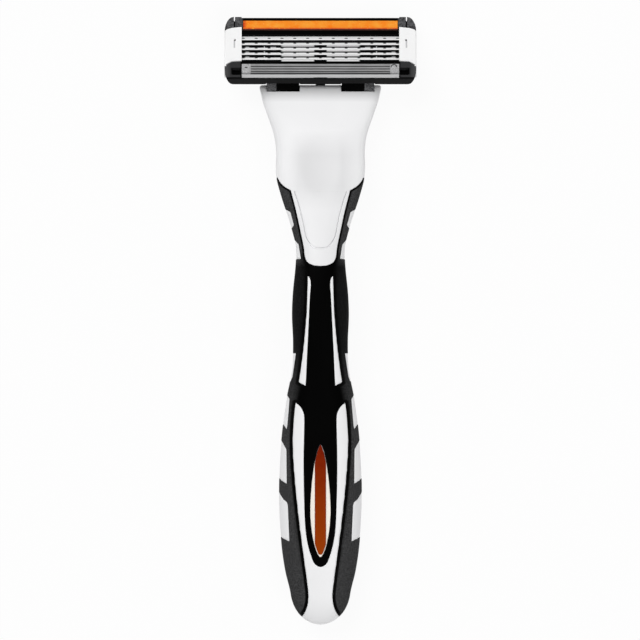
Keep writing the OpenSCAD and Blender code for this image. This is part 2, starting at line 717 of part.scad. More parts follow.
module cap_tray() {
    color("#3c3e40")
    intersection() {
        head_column(frame_half - 0.05);
        at_face() tray_body();
    }
}
module tray_body() {
    difference() {
        union() {
            block([-face_half + fit, face_half - fit], [tray_front + fit, face_length - lip - fit],
                  [-tray_depth, -1.3]);
            for (side = [-1, 1]) {
                block(side > 0 ? [face_half - 0.3, face_half + 1] : [-face_half - 1, -face_half + 0.3],
                      [corner_front + fit, face_length - lip - fit], [-tray_depth, 0.05]);
                block(side > 0 ? [face_half + fit, beyond + 10] : [-beyond - 10, -face_half - fit],
                      [corner_front + fit, corner_reach], [-tray_depth, 0.05]);
            }
        }
        // seam in each corner block
        for (side = [-1, 1])
            block(side > 0 ? [face_half + 1.6, face_half + 1.75] : [-face_half - 1.75, -face_half - 1.6],
                  [corner_front + 1, beyond], [-0.3, 2]);
    }
}

module lube_strip() {
    color("#ff8c1e")
    at_face()
    across([[tray_front + 0.1, -1.3], [tray_front + 0.1, 0], [tray_front + 0.5, 0.12],
        [tray_front + lube_width - 0.5, 0.12], [tray_front + lube_width, 0],
        [tray_front + lube_width, -1.3]], lube_half);
}

module clip(side) {
    bend_r = clip_t - fit;
    color("#fafafa")
    at_face()
    mirror([side < 0 ? 1 : 0, 0, 0])
    difference() {
        union() {
            // plate over the face, with its outer edge rounded over
            intersection() {
                translate([0, 0, clip_seat + fit]) linear_extrude(clip_t - fit) clip_outline();
                translate([head_half - bend_r, 0, clip_seat + clip_t - bend_r])
                rotate([90, 0, 0]) {
                    cylinder(r = bend_r, h = beyond, $fn = 32);
                    translate([-beyond, -bend_r, 0]) cube([beyond, 2 * bend_r, beyond]);
                    translate([-beyond, -beyond, 0]) cube([beyond + bend_r, beyond, beyond]);
                }
            }
            // wall down the end of the head
            block([head_half - clip_t + fit, head_half], [clip_front - 1.05, clip_back - 1.05],
                  [-frame_depth - clip_t, clip_seat + 0.1]);
            // hook behind the housing
            block([head_half - 3, head_half], [clip_front, clip_back],
                  [-frame_depth - clip_t, -frame_depth - fit]);
        }
        translate([face_half + 1.55, -clip_front - 5.6, -1]) cylinder(r = 0.25, h = 3, $fn = 24);
        block([face_half + 1.5, face_half + 1.6], [clip_front + 3.4, clip_front + 5.6], [clip_t - 0.15, 2]);
    }
}

// One moulded comb under the blade ends: five fingers that push the blades out
module spring_comb(side) {
    root = bay_half - fit;
    color("#202020")
    at_face()
    mirror([side < 0 ? 1 : 0, 0, 0]) {
        block([root - 0.55, root], [bay_front + fit, bay_back - fit], [-bay_floor, -bay_floor + 0.35]);
        for (i = [0 : 4])
            translate([0, -blade_edge(i) - 0.75, 0])
            rotate([90, 0, 0])
            linear_extrude(0.5, center = true)
            polygon([[root - 0.5, -bay_floor], [root - 0.5, -bay_floor + 0.35],
                [root - 2.9, -support_foot - blade_travel - 0.05],
                [root - 3.3, -support_foot - blade_travel - 0.05],
                [root - 3.3, -support_foot - blade_travel - 0.25],
                [root - 2.9, -support_foot - blade_travel - 0.3]]);
    }
}

// Blades: blade 1 is next to the cap and blade 5 next to the guard
function blade_edge(i) = first_edge + blade_pitch * i;
blade_top = 0.08;
blade_half = bay_half - 0.15;
support_foot = 2.6;
support_half = bay_half - 0.3;
module blade(number) {
    edge = blade_edge(5 - number);
    along_x = cos(blade_tilt);
    down = sin(blade_tilt);
    bevel = 0.3;
    color("#d8dadc")
    at_face()
    across([[edge, -blade_top - blade_t / 2],
        [edge + bevel * along_x, -blade_top - bevel * down],
        [edge + blade_width * along_x, -blade_top - blade_width * down],
        [edge + blade_width * along_x - blade_t * down, -blade_top - blade_width * down - blade_t * along_x],
        [edge + bevel * along_x - blade_t * down, -blade_top - bevel * down - blade_t * along_x]], blade_half);
}
module blade_support(number) {
    edge = blade_edge(5 - number);
    along_x = cos(blade_tilt);
    down = sin(blade_tilt);
    // corners of the bend, measured along the blade's underside
    front = 0.4;
    back = blade_width - 0.08;
    under = blade_t + 0.005;
    function on_blade(u, v) = [edge + u * along_x - v * down, -blade_top - u * down - v * along_x];
    bend = on_blade(front, under);
    inside = on_blade(front + support_t * 1.3, under + support_t);
    color("#9a9ca0")
    at_face()
    difference() {
        across([bend, on_blade(back, under), on_blade(back, under + support_t), inside,
            [bend[0] + support_t, inside[1] - 0.1], [bend[0] + support_t, -support_foot],
            [bend[0], -support_foot]], support_half);
        // rinse openings in the upright leg
        for (side = [-1, 1])
            block(side > 0 ? [rib_half + 0.1, window_outer] : [-window_outer, -rib_half - 0.1],
                  [bend[0] - 0.2, bend[0] + 0.5], [-2.15, -0.95]);
    }
}

// Trimmer behind the cap; the corner of its guard rests on the floor
trimmer_half = face_half - 1.35;
trimmer_seat = face_length - 2.5;
tooth_pitch = 1.2;
tooth_count = floor((trimmer_half - 1.5) / tooth_pitch);
module trimmer_guard() {
    corner = face_length - 0.3;
    color("#1c1c1c")
    at_face()
    difference() {
        across([[trimmer_seat - 0.9, -frame_depth], [trimmer_seat, -frame_depth],
            [trimmer_seat, -frame_depth - 0.42],
            [corner - 0.3, -frame_depth - 0.42], [corner, -frame_depth - 0.8],
            [corner, floor_at(corner)], [corner - 0.7, floor_at(corner) + 0.1],
            [trimmer_seat - 0.7, -frame_depth - 0.9]], trimmer_half);
        for (i = [-tooth_count : tooth_count])
            block([i * tooth_pitch - 0.3, i * tooth_pitch + 0.3], [corner - 0.75, beyond],
                  [-frame_depth - 1.35, -frame_depth]);
    }
}
module trimmer_blade() {
    color("#d8dadc")
    at_face()
    across([[trimmer_seat + fit, -frame_depth - 0.42], [trimmer_seat + fit, -frame_depth - 0.3],
        [face_length - 0.5, -frame_depth - 0.3], [face_length - 0.1, -frame_depth - 0.4],
        [face_length - 0.5, -frame_depth - 0.42]], trimmer_half - 1);
}

module connector() {
    arm = [
        [pivot_y, pivot_z + 1.1], [neck_y - 0.3, pivot_z + 0.95], [notch_y - 0.35, pivot_z + 0.45],
        [notch_y, pivot_z], [notch_y, yoke_top - 0.1], [yoke_back, yoke_top - 0.1],
        [yoke_back, yoke_floor], [neck_y + 0.1, yoke_floor], [pivot_y - 0.6, pivot_z - 0.9]];
    color("#181818")
    difference() {
        union() {
            for (side = [-1, 1])
                translate([side * (arm_in + arm_out) / 2 - arm_width / 2, 0, 0])
                rotate([90, 0, 90])
                linear_extrude(arm_width) {
                    polygon(arm);
                    translate([pivot_y, pivot_z]) circle(r = 1.1);
                }
            translate([-arm_out, neck_y + 0.2, yoke_floor])
                cube([2 * arm_out, yoke_back - neck_y - 0.2, yoke_top - yoke_floor]);
            translate([-tongue_half, neck_y + 0.2, yoke_floor])
                cube([2 * tongue_half, tongue_end - neck_y - 0.2, tongue_top - yoke_floor]);
            translate([-barrel_half, neck_y + 0.2, yoke_floor])
                cube([2 * barrel_half, barrel_end - neck_y - 0.2, yoke_top - yoke_floor]);
        }
        // latch slot under the lever's nose
        translate([-2.2, lever_end - 0.5, yoke_floor + 0.4]) cube([4.4, 1.8, 4]);
        for (side = [-1, 1])
            translate([side * (arm_in + arm_out) / 2, pivot_y, pivot_z])
            rotate([0, 90, 0]) cylinder(d = pivot_pin_d, h = arm_width + 2, center = true);
        // bore for the plunger and its spring
        translate([0, barrel_end - 0.8, plunger_z])
            rotate([90, 0, 0]) cylinder(d = plunger_d + 2 * running_gap, h = beyond);
    }
}
module pivot_pins() {
    color("silver")
    for (side = [-1, 1])
        translate([side * (arm_in + arm_out) / 2, pivot_y, pivot_z])
        rotate([0, 90, 0]) cylinder(d = pivot_pin_d, h = arm_width + 2, center = true);
}

// The plunger's round nose presses the housing's back below the pivot.
nose_r = plunger_d / 2;
nose_y = pivot_y + (frame_depth - pivot_depth + nose_r - (pivot_z - plunger_z) * cos(face_tilt))
    / sin(face_tilt) + 0.1;
plunger_end = neck_y + 3;
module plunger() {
    color("#2a2a2a")
    translate([0, nose_y, plunger_z]) {
        sphere(r = nose_r);
        rotate([-90, 0, 0]) cylinder(r = nose_r, h = plunger_end - nose_y);
    }
}
module plunger_spring() {
    color("silver")
    translate([0, plunger_end, plunger_z])
    rotate([-90, 0, 0]) coil(plunger_d - 0.2, 0.3, 6, barrel_end - 0.8 - plunger_end);
}

handle_core();
neck_cover();
side_grip();  // side_grip_left
mirror([1, 0, 0]) side_grip();  // side_grip_right
front_grip();
back_grip();
lens_insert();
accent_bar();
release_button();
button_spring();
connector();
pivot_pins();
plunger();
plunger_spring();
cartridge_frame();
guard_strip();
cap_tray();
lube_strip();
clip(1);  // clip_left
clip(-1);  // clip_right
spring_comb(1);  // spring_comb_left
spring_comb(-1);  // spring_comb_right
trimmer_guard();
trimmer_blade();
blade(1);  // blade_1
blade(2);  // blade_2
blade(3);  // blade_3
blade(4);  // blade_4
blade(5);  // blade_5
blade_support(1);  // blade_support_1
blade_support(2);  // blade_support_2
blade_support(3);  // blade_support_3
blade_support(4);  // blade_support_4
blade_support(5);  // blade_support_5
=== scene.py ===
import math

import bmesh
import bpy
import numpy as np
from mathutils import Matrix, Vector
from mathutils.geometry import delaunay_2d_cdt


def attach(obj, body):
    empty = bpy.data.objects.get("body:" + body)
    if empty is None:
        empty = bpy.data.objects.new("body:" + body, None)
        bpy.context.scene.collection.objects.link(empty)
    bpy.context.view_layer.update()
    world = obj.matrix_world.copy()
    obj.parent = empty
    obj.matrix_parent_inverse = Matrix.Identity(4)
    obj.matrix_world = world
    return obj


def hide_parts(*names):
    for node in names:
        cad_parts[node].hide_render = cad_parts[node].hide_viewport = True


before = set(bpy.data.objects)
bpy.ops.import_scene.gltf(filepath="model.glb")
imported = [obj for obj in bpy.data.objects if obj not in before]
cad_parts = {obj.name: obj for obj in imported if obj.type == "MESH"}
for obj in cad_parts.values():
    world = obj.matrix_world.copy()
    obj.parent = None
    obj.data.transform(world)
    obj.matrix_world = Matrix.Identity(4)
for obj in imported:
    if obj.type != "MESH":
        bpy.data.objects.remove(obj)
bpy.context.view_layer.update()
scene = bpy.context.scene
MM = 0.001

# ------------------------------------------------------------ the handle's surface
# A station t runs from the neck's edge to the butt, and x is the distance from the
# middle plane, as in the solid handle.
NECK_Y = -53.4
DOME_START = 115.4
STATION_END = 122.3
NECK_EDGE_R = 0.8
# Each row: station, half width, top, bottom, squareness of the section
ROWS = np.array([
    [0, 13.95, 9, 3.7, 3.4], [3.6, 13.1, 9.2, 3.4, 3.3], [7.5, 11.78, 9.45, 3.4, 3.1],
    [11, 10.6, 9.8, 3.7, 2.9], [14.5, 10.08, 10.3, 4.1, 2.8], [20.5, 10.05, 11.4, 4.8, 2.7],
    [25, 8.95, 12.4, 5.2, 2.6], [29.2, 7.59, 13.3, 5.4, 2.5], [33, 6.42, 14, 5.4, 2.4],
    [36.5, 5.62, 14.6, 5.2, 2.4], [40.5, 5.62, 15.1, 4.8, 2.3], [47, 6.25, 15.5, 3.9, 2.3],
    [52, 6.46, 15.5, 3.2, 2.3], [58.5, 6.22, 15.3, 2.5, 2.3], [64.5, 6.46, 15, 1.8, 2.3],
    [71.8, 7.82, 14.8, 0.95, 2.3], [82, 9, 14.6, 0.2, 2.3], [94, 9.4, 14, 0, 2.3],
    [104, 8.85, 13, 0.35, 2.3], [110, 8, 12.1, 1.1, 2.3], [115.4, 6.75, 11, 2.2, 2.3],
    [122.3, 6.2, 9.8, 3.2, 2.3]])
# Each row: station, half width of the white back between the side grips
BACK_ROWS = np.array([
    [20, 12], [24, 8.6], [30, 5.6], [38, 4], [50, 4.2], [64, 4.4], [76, 5.4], [90, 6.2],
    [104, 5.6], [113, 4.3], [119, 3.4], [123, 6.5], [127, 9]])


def along(rows, column, t):
    """Smooth value of one column between the rows: a cubic with matched slopes."""
    t = np.asarray(t, float)
    low = np.maximum(np.arange(len(rows)) - 1, 0)
    high = np.minimum(np.arange(len(rows)) + 1, len(rows) - 1)
    slope = (rows[high, column] - rows[low, column]) / (rows[high, 0] - rows[low, 0])
    i = np.clip(np.searchsorted(rows[:, 0], t, side="right") - 1, 0, len(rows) - 2)
    gap = rows[i + 1, 0] - rows[i, 0]
    u = (t - rows[i, 0]) / gap
    return ((2 * u**3 - 3 * u**2 + 1) * rows[i, column] + (u**3 - 2 * u**2 + u) * slope[i] * gap
            + (3 * u**2 - 2 * u**3) * rows[i + 1, column] + (u**3 - u**2) * slope[i + 1] * gap)


def back_half(t):
    """Half width of the white back between the side grips."""
    return along(BACK_ROWS, 1, np.clip(t, BACK_ROWS[0, 0], BACK_ROWS[-1, 0]))


def edge_round(t):
    """How far the neck's rounded edge lies under the surface."""
    short = NECK_EDGE_R - np.minimum(t, NECK_EDGE_R)
    return NECK_EDGE_R - np.sqrt(NECK_EDGE_R**2 - short**2)


def dome(t, inset):
    """Share of the section that is left towards the butt's round end."""
    u = np.maximum(t - DOME_START, 0) / (STATION_END - inset - DOME_START)
    return np.sqrt(np.maximum(0.001, 1 - u * u))


def half_w(t, inset=0.0):
    return (along(ROWS, 1, t) - edge_round(t) - inset) * dome(t, inset)


def half_h(t, inset=0.0):
    return ((along(ROWS, 2, t) - along(ROWS, 3, t)) / 2 - edge_round(t) - inset) * dome(t, inset)


def centre_z(t):
    return (along(ROWS, 2, t) + along(ROWS, 3, t)) / 2


def on_section(t, phi, inset=0.0):
    """x and z on the section at t: phi is 0 at the top, pi/2 at the side, pi underneath."""
    e = 2 / along(ROWS, 4, t)
    s, c = np.sin(phi), np.cos(phi)
    return (half_w(t, inset) * np.abs(s) ** e * np.sign(s),
            centre_z(t) + half_h(t, inset) * np.abs(c) ** e * np.sign(c))


def top_z(t):
    """Height of the surface along the middle."""
    return centre_z(t) + half_h(t)


# Arc length a round the section, from the top, as a table over t and phi
BUTT_STATIONS = DOME_START + (STATION_END - DOME_START) * np.sin(np.linspace(0, math.pi / 2, 30))
TABLE_T = np.concatenate([np.arange(0, 0.8, 0.1), np.arange(0.8, DOME_START, 0.4), BUTT_STATIONS])
quarter = (1 - np.cos(np.linspace(0, math.pi, 241))) / 2 * math.pi / 2
TABLE_PHI = np.concatenate([quarter, math.pi / 2 + quarter[1:]])
table_x, table_z = on_section(TABLE_T[:, None] + 0 * TABLE_PHI, TABLE_PHI + 0 * TABLE_T[:, None])
steps = np.hypot(np.diff(table_x, axis=1), np.diff(table_z, axis=1))
TABLE_ARC = np.concatenate([np.zeros((len(TABLE_T), 1)), np.cumsum(steps, axis=1)], axis=1)


def arc_of(phi, t):
    """Arc length from the top at angle phi."""
    t, phi = np.broadcast_arrays(np.asarray(t, float), np.asarray(phi, float))
    i = np.clip(np.searchsorted(TABLE_T, t, side="right") - 1, 0, len(TABLE_T) - 2)
    u = np.clip((t - TABLE_T[i]) / (TABLE_T[i + 1] - TABLE_T[i]), 0, 1)
    j = np.clip(np.searchsorted(TABLE_PHI, phi, side="right") - 1, 0, len(TABLE_PHI) - 2)
    v = (phi - TABLE_PHI[j]) / (TABLE_PHI[j + 1] - TABLE_PHI[j])
    low = TABLE_ARC[i, j] * (1 - v) + TABLE_ARC[i, j + 1] * v
    high = TABLE_ARC[i + 1, j] * (1 - v) + TABLE_ARC[i + 1, j + 1] * v
    return low * (1 - u) + high * u


def phi_of(a, t):
    """Angle at arc length a from the top, by halving."""
    a = np.minimum(np.abs(a), arc_of(math.pi, t) - 1e-6)
    low, high = np.zeros_like(a), np.full_like(a, math.pi)
    for _ in range(24):
        mid = (low + high) / 2
        less = arc_of(mid, t) < a
        low, high = np.where(less, mid, low), np.where(less, high, mid)
    return (low + high) / 2


def on_surface(a, t, inset=0.0, under=False):
    """Points in space for [a, t], at a depth under the surface. For a piece that crosses
    the middle of the underside, a runs from there instead of from the top."""
    x, z = on_section(t, phi_of(a, t), inset)
    if under:
        z = 2 * centre_z(t) - z
    return np.stack([np.where(a < 0, -x, x), NECK_Y + t, z], axis=-1)


# ------------------------------------------------------------ outlines, seen from above
def smooth(points, step=0.35, sharp=()):
    """A smooth chain through points that turns sharply at the indices in sharp."""
    points = [np.array(p, float) for p in points]
    out = []
    for i in range(len(points) - 1):
        p1, p2 = points[i], points[i + 1]
        p0 = points[i - 1] if i > 0 and i not in sharp else 2 * p1 - p2
        p3 = points[i + 2] if i + 2 < len(points) and i + 1 not in sharp else 2 * p2 - p1
        d0, d1, d2 = (max(np.linalg.norm(q - p), 1e-6) ** 0.5 for p, q in ((p0, p1), (p1, p2), (p2, p3)))
        m1 = p2 - p1 + d1 * ((p1 - p0) / d0 - (p2 - p0) / (d0 + d1))
        m2 = p2 - p1 + d1 * ((p3 - p2) / d2 - (p3 - p1) / (d1 + d2))
        count = max(1, round(float(np.linalg.norm(p2 - p1)) / step))
        for u in np.arange(count) / count:
            out.append((2 * u**3 - 3 * u**2 + 1) * p1 + (u**3 - 2 * u**2 + u) * m1
                       + (3 * u**2 - 2 * u**3) * p2 + (u**3 - u**2) * m2)
    return [tuple(p) for p in out] + [tuple(points[-1])]


def both_sides(chain):
    """Closes a chain from the middle plane to the middle plane over both sides."""
    return list(chain) + [(-x, t) for x, t in reversed(chain) if abs(x) > 1e-9]


def inside(outline, x, t):
    """Signed distance to a closed outline, positive inside it."""
    outline = np.array(outline, float)
    x, t = np.broadcast_arrays(np.asarray(x, float), np.asarray(t, float))
    best = np.full(x.shape, 1e18)
    crossed = np.zeros(x.shape, bool)
    for (ax, at), (bx, bt) in zip(outline, np.roll(outline, -1, axis=0)):
        dx, dt = bx - ax, bt - at
        size = dx * dx + dt * dt
        if size < 1e-14:
            continue
        u = np.clip(((x - ax) * dx + (t - at) * dt) / size, 0, 1)
        best = np.minimum(best, (x - ax - u * dx) ** 2 + (t - at - u * dt) ** 2)
        if at != bt:
            crossed ^= ((at > t) != (bt > t)) & (x < dx * (t - at) / dt + ax)
    return np.where(crossed, 1, -1) * np.sqrt(best)


# The neck's cover, with hollow curves where the rubber wings start and a round tongue
COVER = both_sides(smooth([
    (16, -2), (16, 20.9), (9.75, 21), (9.13, 22.1), (8.23, 23), (6.75, 23.88), (5.58, 28.4),
    (4.59, 33), (3.84, 36.6), (3.46, 39.2), (2.9, 40.2), (1.5, 40.85), (0, 41)], sharp=(1, 2, 5)))
# Where the front grip meets the side grips; beside a streak it runs under the white
SEAM = both_sides([(0, 39.2)] + smooth([
    (3.46, 39.2), (2.7, 43.4), (2.6, 45.5), (2.85, 51.8), (3.15, 55.8), (3.4, 59.9), (3.8, 64),
    (4.1, 67.6), (4.6, 70), (5.2, 72.6), (4.9, 75), (4.9, 85), (4.6, 93), (4.1, 101),
    (3.5, 104.5), (2.8, 108.5), (0, 110.5)], sharp=(1, 9)))
STREAK = smooth([
    (2.91, 43.2), (2.94, 45.6), (2.98, 47.7), (3.18, 51.8), (3.5, 55.8), (3.91, 59.9), (4.45, 64),
    (4.93, 67.35), (3.42, 68.1), (3.28, 66), (3.12, 62), (2.92, 57.9), (2.62, 51.8), (2.42, 47.7),
    (2.24, 45), (2.47, 43.75), (2.91, 43.2)], sharp=(7, 8))[:-1]
# The white chin round the front grip's end, with the second streak
CHIN = both_sides(smooth([
    (0, 109.2), (0.85, 108.9), (1.54, 108.2), (2.11, 106.8), (2.55, 105.45), (2.9, 104.1),
    (3.16, 102.7), (3.35, 101.4), (3.57, 98.7), (3.68, 95.9), (3.78, 91.9), (3.84, 87.8),
    (3.84, 83.7), (3.77, 79.6), (3.7, 76.2), (3.72, 75.2), (3.9, 74.2), (4.64, 72.85),
    (5.67, 71.96), (5.8, 72.8), (6.03, 74.9), (6.18, 76.9), (6.3, 79.6), (6.3, 82.3),
    (6.17, 85.1), (5.88, 89.1), (5.5, 93.2), (5.05, 97.3), (4.55, 101.4), (4.19, 104.1),
    (3.84, 106.8), (3.45, 109.5), (3.05, 112.7), (2.82, 114.5), (2.75, 115.8), (2.84, 117.2),
    (3.05, 118.1), (3.4, 119.05), (3.96, 119.95), (4.35, 120.4)], sharp=(18,))
    + [(16, 120.9), (16, 126), (0, 126)])
WINDOWS = [
    [(6.88, 28.8), (6.08, 31.75), (6.6, 32.5), (12, 32.5), (12, 26)],
    [(5.02, 36.15), (4.5, 39.4), (12, 39.9), (12, 28.1)],
    [(5.62, 60.8), (6.37, 66), (6.8, 67.1), (12, 67.1), (12, 60.8)],
    [(7.05, 71.2), (7.55, 77.1), (7.72, 78), (12, 72), (12, 63)],
    [(7.79, 82.5), (7.7, 90.35), (8.85, 89.65), (12, 86.2), (12, 75.1)],
    [(8.42, 93.9), (7.67, 94.5), (7.46, 95.2), (7.1, 103.4), (8.8, 102.6), (12, 99), (12, 86),
     (9.2, 92.7)]]
WINDOW_LOW = 4.6
BUTTON_START, BUTTON_END = 24.1, 36.9
BUTTON_TIP = 36
BUTTON_SIDE = smooth([
    (5.95, BUTTON_START), (5.25, 26), (4.33, 29.3), (3.85, 31.5), (3.58, 33), (3.2, 34.5),
    (2.62, 35.5), (1.9, 36.3), (1.2, 36.75), (0, BUTTON_END)])
BUTTON_GAP, BUTTON_SWAY = 0.15, 0.28
HINGE_T = BUTTON_START + 0.02
BUTTON = both_sides([(0, BUTTON_START)] + BUTTON_SIDE)
BUTTON_SLOT = both_sides([(0, HINGE_T), (6.1, HINGE_T)] + [
    (x + BUTTON_GAP * (x > 0), t + BUTTON_SWAY * (t > BUTTON_TIP)) for x, t in BUTTON_SIDE[1:]])
LENS_WIDEST, LENS_RISE, LENS_FALL, LENS_WIDTH = 96.3, 14.9, 10.7, 4.76
BAR_HALF, BAR_END = 1.25, 106.35
LENS_RIM, LENS_GAP, BAR_GAP = (0.13, 0.26), 0.03, 0.02
# The connector's arms lie in notches of the neck's edge
ARM_IN, ARM_OUT, ARM_GAP, ARM_DEPTH = 4.8, 12.2, 0.1, 1.45
# The cover's lower edge rises along the neck to a level stretch
PARTING_LOW, PARTING_RISE, PARTING_START, PARTING_RUN, PARTING_TOP = 6.4, 3.1, -5, 23, 9.5
WING_START = 20.7
PAD_START, PAD_END, PAD_GAP, PAD_R = 44, 112, 0.9, 1.6


def lens_half(t):
    """Half width of the lens, rounded at both ends."""
    u = np.abs(t - LENS_WIDEST) / np.where(t < LENS_WIDEST, LENS_RISE, LENS_FALL)
    power = np.where(t < LENS_WIDEST, 1.6, 1.8)
    return LENS_WIDTH / 2 * (1 - np.minimum(1, u) ** power) ** 0.6


LENS_START, LENS_END = LENS_WIDEST - LENS_RISE, LENS_WIDEST + LENS_FALL
lens_turn = np.cos(np.linspace(0.05, math.pi - 0.05, 90))
LENS = both_sides([(0, LENS_START)] + [
    (float(lens_half(t)), float(t))
    for t in (LENS_START + LENS_END) / 2 - (LENS_END - LENS_START) / 2 * lens_turn] + [(0, LENS_END)])


# ------------------------------------------------------------ regions of the surface
# A region is a signed distance over (x, z, t, upper), positive inside, in millimetres.
# OUT is its value on the half of the section that it never reaches.
OUT = -9


def cover_region(x, z, t, upper):
    """The white cover, less the arms' notches and the button's slot."""
    parting = np.minimum(PARTING_TOP, PARTING_LOW + PARTING_RISE * (t - PARTING_START) / PARTING_RUN)
    out = np.minimum(inside(COVER, x, t), z - parting)
    side = np.abs(x)
    notch = np.minimum(np.minimum(side - ARM_IN + ARM_GAP, ARM_OUT + ARM_GAP - side), ARM_DEPTH - t)
    return np.minimum(np.minimum(out, -notch), -inside(BUTTON_SLOT, x, t))


def button_region(x, z, t, upper):
    return np.where(upper, inside(BUTTON, x, t), OUT)


def rubber_region(x, z, t, upper):
    """All that the side and front grips fill."""
    x = np.abs(x)
    above = np.minimum(-inside(COVER, x, t), -inside(CHIN, x, t))
    above = np.minimum(above, -inside(STREAK, x, t))
    out = np.where(upper, above, x - back_half(t))
    out = np.minimum(out, t - WING_START)
    for window in WINDOWS:
        out = np.minimum(out, -np.minimum(inside(window, x, t), np.where(upper, -OUT, z - WINDOW_LOW)))
    return out


def seam_region(x, z, t, upper):
    """Signed distance to the seam: positive on the front grip's side."""
    return np.where(upper, inside(SEAM, x, t), OUT)


def side_region(x, z, t, upper):
    return np.minimum(rubber_region(x, z, t, upper), -seam_region(x, z, t, upper))


def front_region(x, z, t, upper):
    out = np.minimum(rubber_region(x, z, t, upper), seam_region(x, z, t, upper))
    return np.minimum(out, -inside(LENS, x, t))


def bar_region(x, z, t, upper):
    """A bar down the lens, which ends in half a circle."""
    end = BAR_HALF - np.hypot(x, np.maximum(0, t - BAR_END + BAR_HALF))
    rim = np.interp(t, (LENS_WIDEST, BAR_END), LENS_RIM)
    return np.where(upper, np.minimum(inside(LENS, x, t) - rim, end), OUT)


def lens_region(x, z, t, upper):
    out = np.where(upper, inside(LENS, x, t) - LENS_GAP, OUT)
    return np.minimum(out, -bar_region(x, z, t, upper) - BAR_GAP)


def back_grip_region(x, z, t, upper):
    """A long pad with round corners, between the side grips."""
    from_side = back_half(t) - PAD_GAP - np.abs(x)
    from_end = np.minimum(t - PAD_START, PAD_END - t)
    corner = PAD_R - np.hypot(np.minimum(from_side - PAD_R, 0), np.minimum(from_end - PAD_R, 0))
    out = np.minimum(np.minimum(from_side, from_end), corner)
    return np.where(upper, OUT, out)


# ------------------------------------------------------------ mesh makers
def contour(region, a_range, t_range, under, step=0.12):
    """Loops round a region on the unrolled surface, as arrays of [a, t]."""
    # shifted a little, off the outlines' round numbers
    a = np.arange(a_range[0], a_range[1] + step, step) + 1.3e-4
    t = np.clip(np.arange(t_range[0], t_range[1] + step, step) + 1.7e-4, *t_range)
    A, T = np.meshgrid(a, t)
    reach = arc_of(math.pi, T)
    x, _, z = np.moveaxis(on_surface(A, T, 0.0, under), -1, 0)
    value = region(x, z, T, (phi_of(A, T) <= math.pi / 2) != under)
    value = np.where(np.abs(A) > reach, -1.0, value)
    value[0, :] = value[-1, :] = value[:, 0] = value[:, -1] = -1e-3
    sign = value > 0
    first = sign[:-1, :-1]
    mixed = (first != sign[1:, :-1]) | (first != sign[:-1, 1:]) | (first != sign[1:, 1:])
    points, links = {}, {}

    def cross(key):
        i, j, down = key
        k, m = (i + 1, j) if down else (i, j + 1)
        u = min(max(value[i, j] / (value[i, j] - value[k, m]), 0.02), 0.98)
        points[key] = (A[i, j] + u * (A[k, m] - A[i, j]), T[i, j] + u * (T[k, m] - T[i, j]))
        return key

    for i, j in zip(*(side.tolist() for side in np.nonzero(mixed))):
        corners = (sign[i, j], sign[i, j + 1], sign[i + 1, j + 1], sign[i + 1, j])
        edges = [(i, j, 0), (i, j + 1, 1), (i + 1, j, 0), (i, j, 1)]
        hit = [k for k in range(4) if corners[k] != corners[(k + 1) % 4]]
        if len(hit) == 2:
            pairs = [hit]
        else:
            pairs = [(0, 3), (1, 2)] if corners[0] else [(0, 1), (2, 3)]
        for p, q in pairs:
            p, q = cross(edges[p]), cross(edges[q])
            links.setdefault(p, []).append(q)
            links.setdefault(q, []).append(p)
    loops, used = [], set()
    for start in links:
        loop, here = [], start
        while here is not None and here not in used:
            used.add(here)
            loop.append(points[here])
            here = next((k for k in links[here] if k not in used), None)
        if len(loop) > 8:
            loops.append(thinned(np.array(loop), 0.012, 0.5))
    return loops


def thinned(loop, tolerance, longest):
    """A loop with its straight stretches thinned, and no segment longer than longest."""
    n = len(loop)
    keep = np.zeros(n, bool)
    far = int(np.argmax(np.hypot(*(loop - loop[0]).T)))
    keep[[0, far]] = True
    spans = [(0, far), (far, n)]
    while spans:
        i, j = spans.pop()
        if j - i < 2:
            continue
        p = loop[i]
        d = loop[j % n] - p
        mid = loop[i + 1:j] - p
        off = np.abs(mid[:, 0] * d[1] - mid[:, 1] * d[0]) / max(np.hypot(*d), 1e-9)
        k = int(np.argmax(off))
        if off[k] > tolerance:
            keep[i + 1 + k] = True
            spans += [(i, i + 1 + k), (i + 1 + k, j)]
    out = []
    for p, q in zip(loop[keep], np.roll(loop[keep], -1, axis=0)):
        count = max(1, math.ceil(np.hypot(*(q - p)) / longest))
        out += [p + (q - p) * k / count for k in range(count)]
    return np.array(out)


def to_loops(points, loops):
    """Signed distance from each point to the nearest loop, positive inside them."""
    best = np.full(len(points), -1e9)
    crossed = np.zeros(len(points), bool)
    for loop in loops:
        d = inside(loop, points[:, 0], points[:, 1])
        best = np.maximum(best, -np.abs(d))
        crossed ^= d > 0
    return np.where(crossed, -best, best)


def groove_distance(grooves, a, t):
    """Distance in [a, t] to the nearest groove, each given by its two ends."""
    best = np.full(np.shape(a), 1e9)
    for (a0, t0), (a1, t1) in grooves:
        da, dt = a1 - a0, t1 - t0
        u = np.clip(((a - a0) * da + (t - t0) * dt) / (da * da + dt * dt), 0, 1)
        best = np.minimum(best, np.hypot(a - a0 - u * da, t - t0 - u * dt))
    return best


GROOVE_R, GROOVE_DEPTH = 0.45, 0.8


def groove_points(grooves):
    """Mesh points in rows along each groove, so that its round bottom shows."""
    out = []
    for start, end in grooves:
        start, end = np.array(start), np.array(end)
        way = (end - start) / np.hypot(*(end - start))
        across = np.array([-way[1], way[0]])
        for u in np.arange(-GROOVE_R, np.hypot(*(end - start)) + GROOVE_R, 0.3):
            out += [start + u * way + off * GROOVE_R * across
                    for off in (-1.25, -0.8, -0.4, 0, 0.4, 0.8, 1.25)]
    return np.array(out).reshape(-1, 2)


